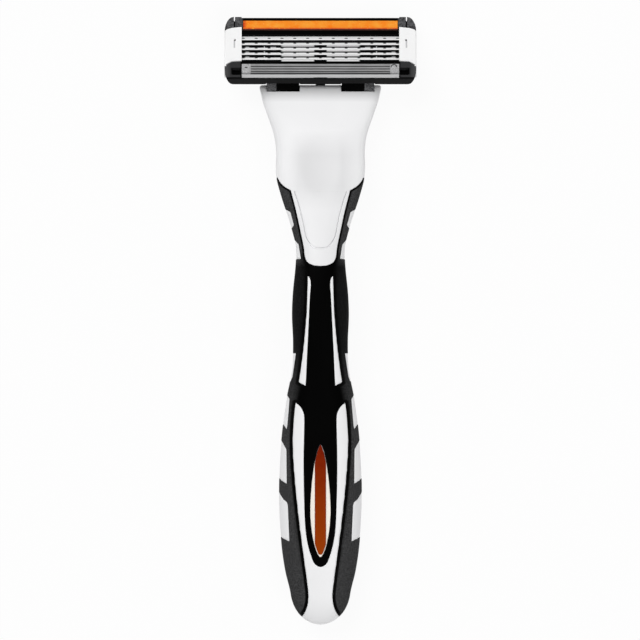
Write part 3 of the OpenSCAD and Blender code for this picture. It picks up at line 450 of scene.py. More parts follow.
def skin_points(loops, lip, grid, rings, grooves, a_range, t_range):
    """Mesh points in [a, t]: the loops, rows inside them for the lip, grooves and a grid."""
    coords = [np.concatenate(loops)]
    for off in (0.25 * lip, 0.6 * lip, 1.15 * lip, *rings):
        for loop in loops:
            way = np.roll(loop, -1, axis=0) - np.roll(loop, 1, axis=0)
            way = np.stack([-way[:, 1], way[:, 0]], axis=1) / np.maximum(np.hypot(*way.T), 1e-9)[:, None]
            for points in (loop + off * way, loop - off * way):
                coords.append(points[to_loops(points, loops) > off * 0.93])
    furthest = max((1.15 * lip, *rings))
    if grooves:
        points = groove_points(grooves)
        coords.append(points[to_loops(points, loops) > furthest + 0.1])
    a = np.arange(a_range[0], a_range[1], grid)
    t = np.arange(t_range[0], t_range[1], grid * 0.87)
    A, T = np.meshgrid(a, t)
    A = A + grid / 2 * (np.arange(len(t))[:, None] % 2)
    points = np.stack([A.ravel(), T.ravel()], axis=1)
    clear = to_loops(points, loops) > furthest + 0.18
    clear &= groove_distance(grooves, points[:, 0], points[:, 1]) > GROOVE_R * 1.6
    return np.concatenate(coords + [points[clear]])


def triangles(loops, coords):
    """The points in use and the triangles between them, all turned one way."""
    edges, first = [], 0
    for loop in loops:
        n = len(loop)
        edges += [(first + k, first + (k + 1) % n) for k in range(n)]
        first += n
    flat, _, tris, *_ = delaunay_2d_cdt([Vector(p) for p in coords], edges, [], 0, 1e-5)
    flat = np.array([tuple(v) for v in flat])
    tris = np.array([tuple(f) for f in tris if len(f) == 3])
    tris = tris[to_loops(flat[tris].mean(axis=1), loops) > 0]
    used = np.unique(tris)
    order = np.full(len(flat), -1)
    order[used] = np.arange(len(used))
    flat, tris = flat[used], order[tris]
    p, q, r = (flat[tris[:, k]] for k in range(3))
    area = (q - p)[:, 0] * (r - p)[:, 1] - (q - p)[:, 1] * (r - p)[:, 0]
    return flat, np.where((area > 0)[:, None], tris, tris[:, ::-1])


def skin(region, a_range, t_range, depth=0.9, lip=0.12, grid=0.55, rings=(), rim=None, low=None,
         grooves=(), under=False):
    """A piece of the handle's surface with rounded edges: points, faces, and each point's
    [a, t]. rim gives the distance that the rounding goes by, where it isn't the edge's own,
    and low the extra depth of the outer face."""
    loops = contour(region, a_range, t_range, under)
    coords = skin_points(loops, lip, grid, rings, grooves, a_range, t_range)
    flat, tris = triangles(loops, coords)
    a, t = flat.T
    distance = to_loops(flat, loops)
    if rim is not None:
        x, _, z = on_surface(a, t).T
        distance = np.maximum(distance, rim(x, z, t, phi_of(a, t) <= math.pi / 2))
    short = lip - np.clip(distance, 0, lip)
    drop = lip - np.sqrt(lip * lip - short * short)
    reach = groove_distance(grooves, a, t) / GROOVE_R
    drop = drop + GROOVE_R * np.sqrt(np.maximum(0, 1 - np.minimum(1, reach) ** 2)) * GROOVE_DEPTH
    if low is not None:
        drop = drop + low(a, t)
    n = len(flat)
    points = np.concatenate([on_surface(a, t, drop, under), on_surface(a, t, depth, under)])
    faces = [tuple(f) for f in tris.tolist()]
    directed = {(f[k], f[(k + 1) % 3]) for f in faces for k in range(3)}
    wall = [(q, p, p + n, q + n) for p, q in sorted(directed) if (q, p) not in directed]
    faces = faces + [(r + n, q + n, p + n) for p, q, r in faces] + wall
    return points, [f[::-1] for f in faces] if under else faces, flat


def placed(name, data):
    """A new object in the scene."""
    out = bpy.data.objects.new(name, data)
    scene.collection.objects.link(out)
    return out


def add(name, points, faces, slot, body="handle", mirror=False, shades=None):
    """Makes the piece that stands for a CAD node. shades is a value for each point."""
    if mirror:
        points = points * np.array([-1, 1, 1])
        faces = [tuple(reversed(f)) for f in faces]
    mesh = bpy.data.meshes.new(name)
    mesh.from_pydata([tuple(p) for p in points * MM], [], faces)
    mesh.polygons.foreach_set("use_smooth", [True] * len(mesh.polygons))
    if shades is not None:
        layer = mesh.attributes.new("shade", "FLOAT", "POINT")
        layer.data.foreach_set("value", np.asarray(shades, np.float32))
    mesh.materials.append(OWN_FINISH.get(name, SLOTS[slot]))
    piece = placed(name, mesh)
    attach(piece, body)
    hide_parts(name)
    return piece


def cut(piece, boxes):
    """Cuts boxes, each from a lowest to a highest corner, out of a piece."""
    cutters = []
    for low, high in boxes:
        bm = bmesh.new()
        bmesh.ops.create_cube(bm, size=1)
        for v in bm.verts:
            v.co = [(p + (c + 0.5) * (q - p)) * MM for p, q, c in zip(low, high, v.co)]
        mesh = bpy.data.meshes.new("cutter")
        bm.to_mesh(mesh)
        bm.free()
        cutters.append(placed("cutter", mesh))
        change = piece.modifiers.new("cut", "BOOLEAN")
        change.object = cutters[-1]
    bpy.context.view_layer.update()
    cut_piece = piece.evaluated_get(bpy.context.evaluated_depsgraph_get())
    piece.data = bpy.data.meshes.new_from_object(cut_piece)
    piece.modifiers.clear()
    for cutter in cutters:
        bpy.data.objects.remove(cutter)


# ------------------------------------------------------------ materials
def rgb(*colour):
    """A colour as a screen shows it, as Blender's linear values."""
    return [((c / 255 + 0.055) / 1.055) ** 2.4 if c > 10 else c / 255 / 12.92 for c in colour] + [1]


def grey(level):
    return rgb(level, level, level + 1)


# Waves a metre of the slow drift of colour, drift of the gloss, and height of the grain in m
SLOW_WAVES, GLOSS_DRIFT, RELIEF = 90.0, 0.06, 0.0001


class Finish:
    """A material put together from nodes, with short calls for the ones used here."""

    def __init__(self, name, **sockets):
        self.mat = bpy.data.materials.new(name)
        self.mat.use_nodes = True
        self.tree = self.mat.node_tree
        self.shader = self.tree.nodes["Principled BSDF"]
        for socket, value in sockets.items():
            self.shader.inputs[socket.replace("_", " ")].default_value = value
        self.place = self.new("ShaderNodeTexCoord").outputs["Object"]

    def axes(self):
        """The place in the shared frame, in metres, as x, y and z."""
        split = self.new("ShaderNodeSeparateXYZ")
        self.feed(self.place, split.inputs[0])
        return split.outputs

    def new(self, kind, **settings):
        node = self.tree.nodes.new(kind)
        for key, value in settings.items():
            setattr(node, key, value)
        return node

    def feed(self, value, socket):
        if isinstance(value, bpy.types.NodeSocket):
            self.tree.links.new(value, socket)
        else:
            socket.default_value = value

    def math(self, operation, a, b=0.0):
        node = self.new("ShaderNodeMath", operation=operation)
        self.feed(a, node.inputs[0])
        self.feed(b, node.inputs[1])
        return node.outputs[0]

    def ramp(self, value, start, end, low=0.0, high=1.0):
        """low up to start, high from end on."""
        node = self.new("ShaderNodeMapRange")
        for socket, item in zip(node.inputs, (value, start, end, low, high)):
            self.feed(item, socket)
        return node.outputs[0]

    def away(self, value):
        return self.math("ABSOLUTE", value)

    def times(self, a, b):
        return self.math("MULTIPLY", a, b)

    def minus(self, a, b):
        return self.math("SUBTRACT", a, b)

    def rest(self, share):
        return self.minus(1.0, share)

    def both(self, a, b):
        return self.math("MINIMUM", a, b)

    def either(self, a, b):
        return self.math("MAXIMUM", a, b)

    def band(self, value, middle, half, soft=0.05):
        """1 where value is within half of the middle."""
        off = self.away(self.minus(value, middle))
        return self.ramp(off, half + soft, half - soft)

    def noise(self, scale, detail=3.0, stretch=(1, 1, 1)):
        """Noise from about 0.3 to 0.7, of scale waves a metre."""
        turn = self.new("ShaderNodeMapping")
        self.feed(self.place, turn.inputs["Vector"])
        turn.inputs["Scale"].default_value = stretch
        node = self.new("ShaderNodeTexNoise")
        self.feed(turn.outputs[0], node.inputs["Vector"])
        node.inputs["Scale"].default_value = scale
        node.inputs["Detail"].default_value = detail
        return node.outputs["Fac"]

    def mix(self, share, a, b):
        node = self.new("ShaderNodeMix", data_type="RGBA")
        self.feed(share, node.inputs[0])
        self.feed(a, node.inputs[6])
        self.feed(b, node.inputs[7])
        return node.outputs[2]

    def spread(self, colour, by):
        """The colour, drifting darker and lighter by a share."""
        dark = [c * (1 - by) for c in colour[:3]] + [1]
        light = [min(1, c * (1 + by)) for c in colour[:3]] + [1]
        return self.mix(self.ramp(self.noise(SLOW_WAVES), 0.3, 0.7), dark, light)

    def face(self):
        """Place on the shaving face in mm: across, back from the guard's edge, and height."""
        x, y, z = (self.times(out, 1000.0) for out in self.axes())
        y = self.minus(y, FACE_Y)
        z = self.minus(z, FACE_Z)
        c, s = math.cos(FACE_TILT), math.sin(FACE_TILT)
        back = self.math("ADD", self.times(y, -c), self.times(z, -s))
        up = self.math("ADD", self.times(y, -s), self.times(z, c))
        return x, back, up

    def done(self, colour, rough, grain=2500.0, bump=0.03):
        """Sets the colour, and fine grain in gloss and relief."""
        fine = self.noise(grain, 4.0)
        self.feed(colour, self.shader.inputs["Base Color"])
        uneven = self.ramp(fine, 0.3, 0.7, -GLOSS_DRIFT, GLOSS_DRIFT)
        self.feed(self.math("ADD", uneven, rough), self.shader.inputs["Roughness"])
        relief = self.new("ShaderNodeBump")
        self.feed(bump, relief.inputs["Strength"])
        relief.inputs["Distance"].default_value = RELIEF
        self.feed(fine, relief.inputs["Height"])
        self.feed(relief.outputs[0], self.shader.inputs["Normal"])
        return self.mat


# The shaving face: where the guard's edge lies, and the tilt
FACE_Y, FACE_Z, FACE_TILT = -54.81, 13.4, math.radians(30)
FIRST_EDGE, BLADE_PITCH = 5.07, 1.29
LAST_EDGE = FIRST_EDGE + 4 * BLADE_PITCH
EDGE_LEAD = 0.04
WELD_PITCH, WELD_BACK = 2.91, 0.57
HIGHEST_GAP = FIRST_EDGE + 3 * BLADE_PITCH + 0.5
PAD_SIDE, FIN_FRONT = 15.75, 1.15
# The slits of the tray's corner blocks, and the line on each clip in front of them
SLIT_X, SLIT_HALF = 19.5, 0.13
WHITE = (247, 247, 248)


def plain(name, colour, rough, by=0.03, grain=2500.0, bump=0.03, **sockets):
    """Moulded plastic or rubber: slight drift of colour, fine grain and uneven gloss."""
    finish = Finish(name, **sockets)
    return finish.done(finish.spread(rgb(*colour), by), rough, grain, bump)


def ribbed_rubber():
    """The side grips: grey with a fine texture, painted sheen that makes stretches lighter or darker, and
    a smooth rim by the white whose black is painted shade.
    """
    f = Finish("side_rubber", Specular_IOR_Level=0.03)
    shade = f.new("ShaderNodeAttribute", attribute_name="shade").outputs["Fac"]
    # inner is 0 on the rim: painted shade by the white, and a soft painted dark by the seam
    inner = f.ramp(shade, -0.04, 0.16)
    speck = f.ramp(f.noise(4200.0, 2.0), 0.38, 0.62)
    down = f.axes()[1]
    # Painted sheen: lighter towards the head and towards the butt, darker in the stretch between
    painted_sheen = f.either(f.ramp(down, 0.006, 0.022), f.ramp(down, -0.0122, -0.0138))
    dark = f.mix(speck, rgb(10, 10, 10), grey(30))
    light = f.mix(speck, rgb(46, 46, 46), grey(72))
    colour = f.mix(inner, rgb(3, 3, 3), f.mix(painted_sheen, dark, light))
    return f.done(colour, f.ramp(inner, 0, 1, 0.5, 0.8), 4200.0, f.ramp(inner, 0, 1, 0.03, 0.5))


def gradient_bar():
    """The accent bar's orange, from dark at the top to brighter at the butt's end."""
    f = Finish("orange_plastic", Specular_IOR_Level=0.04)
    colour = f.mix(f.ramp(f.axes()[1], 0.029, 0.053), rgb(118, 22, 2), rgb(154, 60, 1))
    drift = f.ramp(f.noise(900.0, 4.0), 0.3, 0.7)
    return f.done(f.mix(f.times(drift, 0.15), colour, rgb(168, 66, 3)), 0.3, 3000.0, 0.08)


def tray_finish():
    """The cap's tray: black, with rough dark grey corners beside the lubricating strip, and their slits
    painted black as shade.
    """
    f = Finish("grey_plastic", Specular_IOR_Level=0.04)
    x, back, _ = f.face()
    side = f.away(x)
    corner = f.both(f.ramp(side, 17.5, 17.7), f.ramp(back, 12.6, 12.9))
    speck = f.ramp(f.noise(2600.0), 0.35, 0.65)
    rough_grey = f.mix(speck, grey(54), rgb(98, 98, 100))
    # The slits and their lips stay black: painted shade in the slits
    corner = f.both(corner, f.rest(f.band(side, SLIT_X, SLIT_HALF + 0.03)))
    colour = f.mix(corner, f.spread(rgb(3, 3, 3), 0.15), rough_grey)
    return f.done(colour, 0.55, 2600.0, f.ramp(corner, 0, 1, 0.1, 0.5))


def mottled_strip():
    """The lubricating strip: mottled orange, redder in front and at one end, with a dark rim."""
    f = Finish("lube_orange", Specular_IOR_Level=0.15)
    x, back, _ = f.face()
    drift = f.ramp(f.noise(520.0, 5.0), 0.32, 0.68)
    colour = f.mix(drift, rgb(255, 133, 16), rgb(255, 164, 50))
    speck = f.ramp(f.noise(2600.0), 0.56, 0.7)
    colour = f.mix(f.times(speck, 0.5), colour, rgb(255, 180, 90))
    edge = f.either(f.ramp(back, 13.5, 13.1), f.ramp(x, 16.6, 17.3))
    edge = f.both(edge, f.ramp(f.noise(1500.0), 0.25, 0.5))
    colour = f.mix(edge, colour, rgb(214, 70, 22))
    rim = f.ramp(back, 13.08, 12.98)
    return f.done(f.mix(rim, colour, rgb(46, 18, 6)), 0.42, 2600.0, 0.3)


def guard_finish():
    """The guard: grey fins, painted darker between them as shade, lighter rough pads at its ends and a
    light strip in front.
    """
    f = Finish("guard_rubber", Specular_IOR_Level=0.3)
    x, back, up = f.face()
    pads = f.ramp(f.away(x), PAD_SIDE, PAD_SIDE + 0.2)
    grit = f.ramp(f.noise(3600.0, 2.0), 0.35, 0.65)
    colour = f.mix(f.ramp(f.noise(300.0), 0.3, 0.7), grey(142), grey(158))
    # Painted shade: darker low down, between the fins
    colour = f.mix(f.ramp(up, -0.16, -0.05), rgb(92, 92, 94), colour)
    colour = f.mix(f.ramp(back, FIN_FRONT + 0.15, FIN_FRONT), colour, grey(196))
    rough_pad = f.mix(grit, grey(150), grey(196))
    colour = f.mix(f.both(pads, f.ramp(back, FIN_FRONT, FIN_FRONT + 0.15)), colour, rough_pad)
    # a gate mark on one pad, half a ring on the other, and a gap in the front strip
    dot = f.both(f.band(x, 16.8, 0.28), f.band(back, 2.98, 0.15))
    from_x = f.math("ADD", x, 16.65)
    from_back = f.minus(back, 3.1)
    ring = f.math("SQRT", f.math("ADD", f.math("POWER", from_x, 2.0), f.math("POWER", from_back, 2.0)))
    arc = f.both(f.band(ring, 0.62, 0.12), f.ramp(back, 3.0, 3.2))
    gap = f.both(f.band(x, 0.0, 1.48), f.ramp(back, 0.5, 0.42))
    colour = f.mix(f.either(f.either(dot, arc), gap), colour, grey(26))
    return f.done(colour, 0.55, 3600.0, f.ramp(pads, 0, 1, 0.1, 0.6))


def blade_finish():
    """Near-white steel as painted reflection, a row of dark weld spots, and, under the next blade, a back
    darkened as painted shade with painted glints in it.
    """
    f = Finish("blade_steel", Metallic=0.05, Specular_IOR_Level=0.2)
    x, back, _ = f.face()
    # distance behind the edge of the blade, and across from the nearest weld
    behind = f.minus(back, FIRST_EDGE - EDGE_LEAD)
    behind = f.minus(f.math("FLOORED_MODULO", behind, BLADE_PITCH), EDGE_LEAD)
    across = f.math("FLOORED_MODULO", f.math("ADD", x, WELD_PITCH / 2), WELD_PITCH)
    across = f.math("DIVIDE", f.minus(across, WELD_PITCH / 2), 0.36)
    down = f.math("DIVIDE", f.minus(behind, WELD_BACK), 0.17)
    spot = f.ramp(f.math("ADD", f.math("POWER", across, 2.0), f.math("POWER", down, 2.0)), 1.5, 0.6)
    # Painted shade: the back of each blade, under the next one, is painted near black
    dark = f.both(f.ramp(behind, 0.62, 0.76), f.rest(f.ramp(back, LAST_EDGE - 0.1, LAST_EDGE - 0.05)))
    side = f.away(x)
    # Painted glints: light patches and bars kept out of the painted shade, none above the highest gap
    slant = f.math("ADD", side, f.times(behind, -0.5))
    painted_glint = f.both(f.band(slant, 16.1, 0.42), f.band(behind, 0.86, 0.14))
    third = f.both(f.band(side, 10.7, 0.62), f.band(back, FIRST_EDGE + 2 * BLADE_PITCH + 0.84, 0.14))
    painted_glint = f.either(f.either(painted_glint, third), f.band(side, 12.7, 0.1))
    painted_glint = f.both(painted_glint, f.ramp(back, HIGHEST_GAP + 0.05, HIGHEST_GAP - 0.05))
    dark = f.both(dark, f.rest(f.times(painted_glint, 0.7)))
    # The steel's near-white is painted reflection
    grain = f.ramp(f.noise(900.0, 3.0, (0.05, 1, 1)), 0.3, 0.7)
    colour = f.mix(grain, grey(246), rgb(255, 255, 255))
    colour = f.mix(dark, colour, grey(5))
    return f.done(f.mix(spot, colour, rgb(58, 58, 60)), 0.42, 3000.0, 0.05)


def clip_finish():
    """White end clips, each with a faint line in front of its pit."""
    f = Finish("clip_white")
    x, back, _ = f.face()
    line = f.both(f.band(f.away(x), SLIT_X, SLIT_HALF + 0.04), f.band(back, 8.85, 0.9))
    colour = f.mix(line, f.spread(rgb(252, 252, 252), 0.015), grey(206))
    return f.done(colour, 0.35, 2500.0, 0.08)


def support_finish():
    """Sprung steel under the blades, as the gaps show it: painted light on some stretches, painted shade
    near black on the rest.
    """
    f = Finish("steel", Metallic=0.05, Specular_IOR_Level=0.2)
    x, back, _ = f.face()
    side = f.away(x)
    # of the painted light, the lowest gap shows less, and the highest none
    outer = f.ramp(back, FIRST_EDGE - 0.02, FIRST_EDGE + 0.02, 7.15, 9.0)
    painted_light = f.both(f.ramp(side, 1.3, 1.5), f.ramp(f.minus(outer, side), -0.1, 0.1))
    painted_light = f.both(painted_light, f.ramp(back, HIGHEST_GAP + 0.05, HIGHEST_GAP - 0.05))
    grain = f.ramp(f.noise(700.0), 0.3, 0.7)
    # The light steel is painted light; grey(5) is painted shade
    light = f.mix(grain, rgb(226, 227, 229), grey(246))
    return f.done(f.mix(painted_light, grey(5), light), 0.4, 3000.0, 0.08)


def frame_finish():
    """Black head frame: grey cheeks as painted reflection, lighter outwards, round a black pocket each,
    and a duller front.
    """
    f = Finish("head_frame", Specular_IOR_Level=0.04)
    x, back, _ = f.face()
    front = f.ramp(back, 0.35, 0.1)
    side = f.away(x)
    # Painted reflection on the cheeks, lighter towards the outside
    cheek = f.both(f.ramp(side, 18.0, 18.2), f.ramp(back, 0.3, 0.5))
    pocket = f.both(f.band(side, 19.1, 1.15, 0.2), f.band(back, 2.0, 0.85, 0.15))
    cheek = f.both(cheek, f.rest(pocket))
    cheek_reflection = f.mix(f.ramp(side, 20.3, 21.5), grey(54), grey(78))
    colour = f.mix(front, f.spread(rgb(3, 3, 3), 0.15), f.spread(grey(14), 0.15))
    colour = f.mix(cheek, colour, cheek_reflection)
    return f.done(colour, f.ramp(front, 0, 1, 0.16, 0.45), 2600.0, f.ramp(front, 0, 1, 0.04, 0.2))


def neck_finish():
    """The neck's white, with painted shade: greyer in the thumb's hollow, and a painted shadow at the end
    under the head.
    """
    f = Finish("neck_white", Specular_IOR_Level=0.35)
    x, y, _ = f.axes()
    # Painted shade in the thumb's hollow
    bowl_shade = f.times(f.ramp(y, -0.0432, -0.0375), f.ramp(y, -0.0305, -0.025, 1, 0.4))
    bowl_shade = f.times(bowl_shade, f.ramp(f.away(x), 0.0085, 0.005))
    colour = f.mix(bowl_shade, f.spread(rgb(*WHITE), 0.012), grey(230))
    # Painted shadow of the head on the neck's end
    colour = f.mix(f.ramp(y, -0.0496, -0.052), colour, grey(210))
    return f.done(colour, 0.42)


def connector_finish():
    """Black connector, with its arms' outer parts rough, and painted grey as the light on them."""
    f = Finish("connector", Specular_IOR_Level=0.03)
    outer = f.ramp(f.away(f.axes()[0]), 0.0099, 0.0101)
    speck = f.ramp(f.noise(3000.0), 0.35, 0.65)
    # The arms' outer parts: rough specks, painted grey as lit
    colour = f.mix(speck, grey(62), rgb(112, 112, 114))
    colour = f.mix(outer, f.spread(rgb(2, 2, 2), 0.15), colour)
    return f.done(colour, f.ramp(outer, 0, 1, 0.25, 0.7), 3000.0, f.ramp(outer, 0, 1, 0.05, 0.6))


SLOTS = {finish.name.split(".")[0]: finish for finish in (
    plain("white_plastic", WHITE, 0.42, 0.012, Specular_IOR_Level=0.35),
    clip_finish(),
    ribbed_rubber(),
    plain("black_rubber", (2, 2, 2), 0.5, 0.2, 4000.0, 0.05, Specular_IOR_Level=0.02),
    plain("lens_plastic", (250, 243, 233), 0.22, 0.01, bump=0.02),
    gradient_bar(),
    plain("black_plastic", (10, 10, 10), 0.35, 0.1, bump=0.1, Specular_IOR_Level=0.12),
    tray_finish(), guard_finish(), mottled_strip(), support_finish(), blade_finish())}
# Nodes with a finish that their slot doesn't share
OWN_FINISH = {"cartridge_frame": frame_finish(), "connector": connector_finish(),
              "neck_cover": neck_finish()}
OWN_FINISH["release_button"] = OWN_FINISH["neck_cover"]
# How wide the sharp edges of these kept nodes are broken, in mm
BROKEN_EDGES = {"cartridge_frame": 0.06, "clip_left": 0.1, "clip_right": 0.1, "guard_strip": 0.04,
                "cap_tray": 0.06, "lube_strip": 0.05, "connector": 0.3, "trimmer_guard": 0.06,
                "plunger": 0.08}


def face_block(group, reaches, into):
    """A block in the space of a node, by its reaches across, back and up on the face."""
    across, back, up = (sum(reach) / 2 for reach in reaches)
    c, s = math.cos(FACE_TILT), math.sin(FACE_TILT)
    spot = Vector((across, FACE_Y - c * back - s * up, FACE_Z - s * back + c * up)) * MM
    where = into.matrix_world.inverted() @ Matrix.Translation(spot) @ Matrix.Rotation(FACE_TILT, 4, "X")
    block = group.nodes.new("GeometryNodeMeshCube")
    block.inputs["Size"].default_value = [(high - low) * MM for low, high in reaches]
    moved = group.nodes.new("GeometryNodeTransform")
    moved.inputs["Translation"].default_value = where.to_translation()
    moved.inputs["Rotation"].default_value = where.to_euler()
    group.links.new(block.outputs["Mesh"], moved.inputs["Geometry"])
    return moved.outputs[0]


# Reaches across, back and up on the face, in millimetres
SLITS = [[(x - SLIT_HALF, x + SLIT_HALF), (15.3, 16.8), (-2.5, 0.5)] for x in (-SLIT_X, SLIT_X)]
BACK_RAIL = [(-18.1, 18.1), (15.61, 16.02), (-1, -0.05)]


def tray_back(tray):
    """Adds the tray's rail behind the strip, and opens its corner blocks' slits."""
    group = bpy.data.node_groups.new("tray_back", "GeometryNodeTree")
    new, link = group.nodes.new, group.links.new
    for way in ("INPUT", "OUTPUT"):
        group.interface.new_socket("Geometry", in_out=way, socket_type="NodeSocketGeometry")
    start, end = new("NodeGroupInput"), new("NodeGroupOutput")
    opened = new("GeometryNodeMeshBoolean")
    opened.operation = "DIFFERENCE"
    link(start.outputs[0], opened.inputs["Mesh 1"])
    for slit in SLITS:
        link(face_block(group, slit, tray), opened.inputs["Mesh 2"])
    painted = new("GeometryNodeSetMaterial")
    painted.inputs["Material"].default_value = SLOTS["grey_plastic"]
    link(face_block(group, BACK_RAIL, tray), painted.inputs["Geometry"])
    joined = new("GeometryNodeJoinGeometry")
    link(opened.outputs["Mesh"], joined.inputs[0])
    link(painted.outputs[0], joined.inputs[0])
    link(joined.outputs[0], end.inputs[0])
    return group


for name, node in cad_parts.items():
    for slot in node.material_slots:
        finish = SLOTS.get(slot.material.name.split(".")[0]) if slot.material else None
        slot.material = OWN_FINISH.get(name) or finish or slot.material
    if name in BROKEN_EDGES:
        weld = node.modifiers.new("weld", "WELD")
        weld.merge_threshold = 1e-6
        if name == "cap_tray":
            node.modifiers.new("back", "NODES").node_group = tray_back(node)
        bevel = node.modifiers.new("edges", "BEVEL")
        bevel.width = BROKEN_EDGES[name] * MM
        bevel.segments = 2
        bevel.limit_method = "ANGLE"
        bevel.angle_limit = math.radians(35)
        bevel.harden_normals = True


# ------------------------------------------------------------ pieces of the handle
HOLLOW_R, HOLLOW_DEPTH, HOLLOW_START, HOLLOW_LENGTH, HOLLOW_SOFT = 26, 0.55, 11, 14.6, 0.12


def hollow(a, t):
    """Depth of the thumb's hollow: a round bowl, swept along the neck."""
    x, z = on_section(t, phi_of(a, t))
    deep = HOLLOW_DEPTH * np.sin(np.clip((t - HOLLOW_START) / HOLLOW_LENGTH, 0, 1) * math.pi)
    gap = z - (top_z(t) - deep + HOLLOW_R - np.sqrt(HOLLOW_R**2 - x * x))
    return (gap + np.sqrt(gap * gap + HOLLOW_SOFT**2)) / 2 * np.clip(deep / HOLLOW_SOFT, 0, 1)


def cover_rim(x, z, t, upper):
    """No rounding along the button's hinge, where cover and button are flush."""
    return np.where((t > 23.2) & (t < 24.6), 5.75 - np.abs(x), OUT)


def front_rim(x, z, t, upper):
    """No rounding along the seam, where the grips are flush."""
    return np.minimum(rubber_region(x, z, t, upper), -inside(LENS, x, t))


# The side grip's painted shade: a smooth black rim by the white, and how softly it fades by the seam
STREAK_RIM, COVER_RIM, SEAM_RIM, SEAM_SOFT = 0.62, 0.34, 0.5, 0.12


def side_shade(flat):
    """Distance past the painted shade: the smooth black rim by the white of the upper side, and the soft
    dark at the seam.
    """
    x, t = np.abs(on_surface(*flat.T)[:, 0]), flat[:, 1]
    to_streak = -np.maximum(inside(STREAK, x, t), inside(CHIN, x, t)) - STREAK_RIM
    to_cover = -inside(COVER, x, t) - COVER_RIM
    to_seam = (-inside(SEAM, x, t) - SEAM_RIM) * SEAM_SOFT
    return np.minimum(np.minimum(to_streak, to_cover), to_seam)


def under_arc(t, axis, target):
    """Arc length to where the lower half of the section has this x (axis 0) or z (axis 1)."""
    phi = np.linspace(math.pi / 2, math.pi, 600)
    return float(arc_of(phi[np.argmin(np.abs(on_section(t, phi)[axis] - target))], t))


def ledge_region(x, z, t, upper):
    """The button and, past its hinge, a ledge of 0.4 mm under the gap round it."""
    return button_region(x, z, t, upper) + 0.4 * (t > 25)


def ledge_low(a, t):
    """Depth of the ledge, less where the tip swings."""
    return hollow(a, t) + np.where(t < 35.6, 0.5, 0.28)


points, faces, _ = skin(cover_region, (-19, 19), (0, 41.4), depth=1.0, rim=cover_rim, low=hollow)
add("neck_cover", points, faces, "white_plastic")

points, faces, _ = skin(button_region, (-7, 7), (23.8, 37.3), depth=1.4, lip=0.1, rim=cover_rim,
                        low=hollow)
ledge, ledge_faces, _ = skin(ledge_region, (-7, 7), (23.8, 37.4), depth=1.2, low=ledge_low)
faces += [tuple(k + len(points) for k in face) for face in ledge_faces]
add("release_button", np.concatenate([points, ledge]), faces, "white_plastic", "button")

GROOVE_SLANT = 1.5
belly_grooves = [
    ((under_arc(t, 0, float(back_half(t)) + 1), t),
     (under_arc(t - GROOVE_SLANT, 1, WINDOW_LOW - 1), t - GROOVE_SLANT)) for t in range(80, 101, 4)]
points, faces, flat = skin(side_region, (0, 26), (20.5, 121.5), rings=(0.62, 0.74), rim=rubber_region,
                           grooves=belly_grooves)
shades = np.tile(side_shade(flat), 2)
for name, mirror in (("side_grip_left", False), ("side_grip_right", True)):
    add(name, points, faces, "side_rubber", mirror=mirror, shades=shades)

points, faces, _ = skin(front_region, (-7, 7), (39, 110), rim=front_rim)
add("front_grip", points, faces, "black_rubber")

points, faces, _ = skin(lens_region, (-4, 4), (81, 107.5), lip=0.16, grid=0.4)
add("lens_insert", points, faces, "lens_plastic")

points, faces, _ = skin(bar_region, (-2, 2), (81.5, 107), lip=0.1, grid=0.35)
add("accent_bar", points, faces, "orange_plastic")

PAD_GROOVES, GROOVE_HALF = 12, 2.6
back_grooves = [((-GROOVE_HALF, t), (GROOVE_HALF, t))
                for t in (PAD_START + 6 + k * 56 / (PAD_GROOVES - 1) for k in range(PAD_GROOVES))]
points, faces, _ = skin(back_grip_region, (-6.5, 6.5), (43.5, 112.5), grooves=back_grooves, under=True)
add("back_grip", points, faces, "side_rubber", shades=np.ones(len(points)))

# The core: the whole handle as one sleeve, sunk under the cover, the button and the grips
AROUND = 144
SUNK, UNDER_COVER, UNDER_BUTTON, UNDER_GRIPS = 0.05, 0.7, 2.4, 0.5


def sleeve_depth(x, z, t, upper):
    """How far the core lies under the handle's surface."""
    pit = np.where(upper, inside(BUTTON_SLOT, x, t), OUT)
    covered = np.maximum(rubber_region(x, z, t, upper), np.where(upper, inside(LENS, x, t), OUT))
    covered = np.maximum(covered, back_grip_region(x, z, t, upper))
    sunk = SUNK * np.clip((t - 18) / 3, 0, 1)
    sunk += UNDER_COVER * np.clip(cover_region(x, z, t, upper) / 0.6, 0, 1)
    sunk += UNDER_BUTTON * np.clip((pit + 0.25) / 0.5, 0, 1)
    return sunk + UNDER_GRIPS * np.clip(covered / 0.4, 0, 1)


stations = np.concatenate([
    [0, 0.03, 0.1, 0.2, 0.35, 0.55, 0.8], np.arange(1.2, DOME_START, 0.4),
    DOME_START + (STATION_END - DOME_START) * np.sin(np.linspace(0.02, 1.56, 30))])
T, turn = np.meshgrid(stations, np.linspace(0, 2 * math.pi, AROUND, endpoint=False), indexing="ij")
side = np.where(turn > math.pi, -1, 1)
phi = np.where(turn > math.pi, 2 * math.pi - turn, turn)
x, z = on_section(T, phi)
x, z = on_section(T, phi, sleeve_depth(x, z, T, phi <= math.pi / 2))
points = np.stack([x * side, NECK_Y + T, z], axis=-1).reshape(-1, 3)
rings = [np.arange(AROUND) + AROUND * i for i in range(len(stations))]
faces = [(int(p[k]), int(p[k - 1]), int(q[k - 1]), int(q[k])) for p, q in zip(rings, rings[1:])
         for k in range(AROUND)]
faces += [tuple(rings[0].tolist()), tuple(rings[-1][::-1].tolist())]
core = add("handle_core", points, faces, "white_plastic")
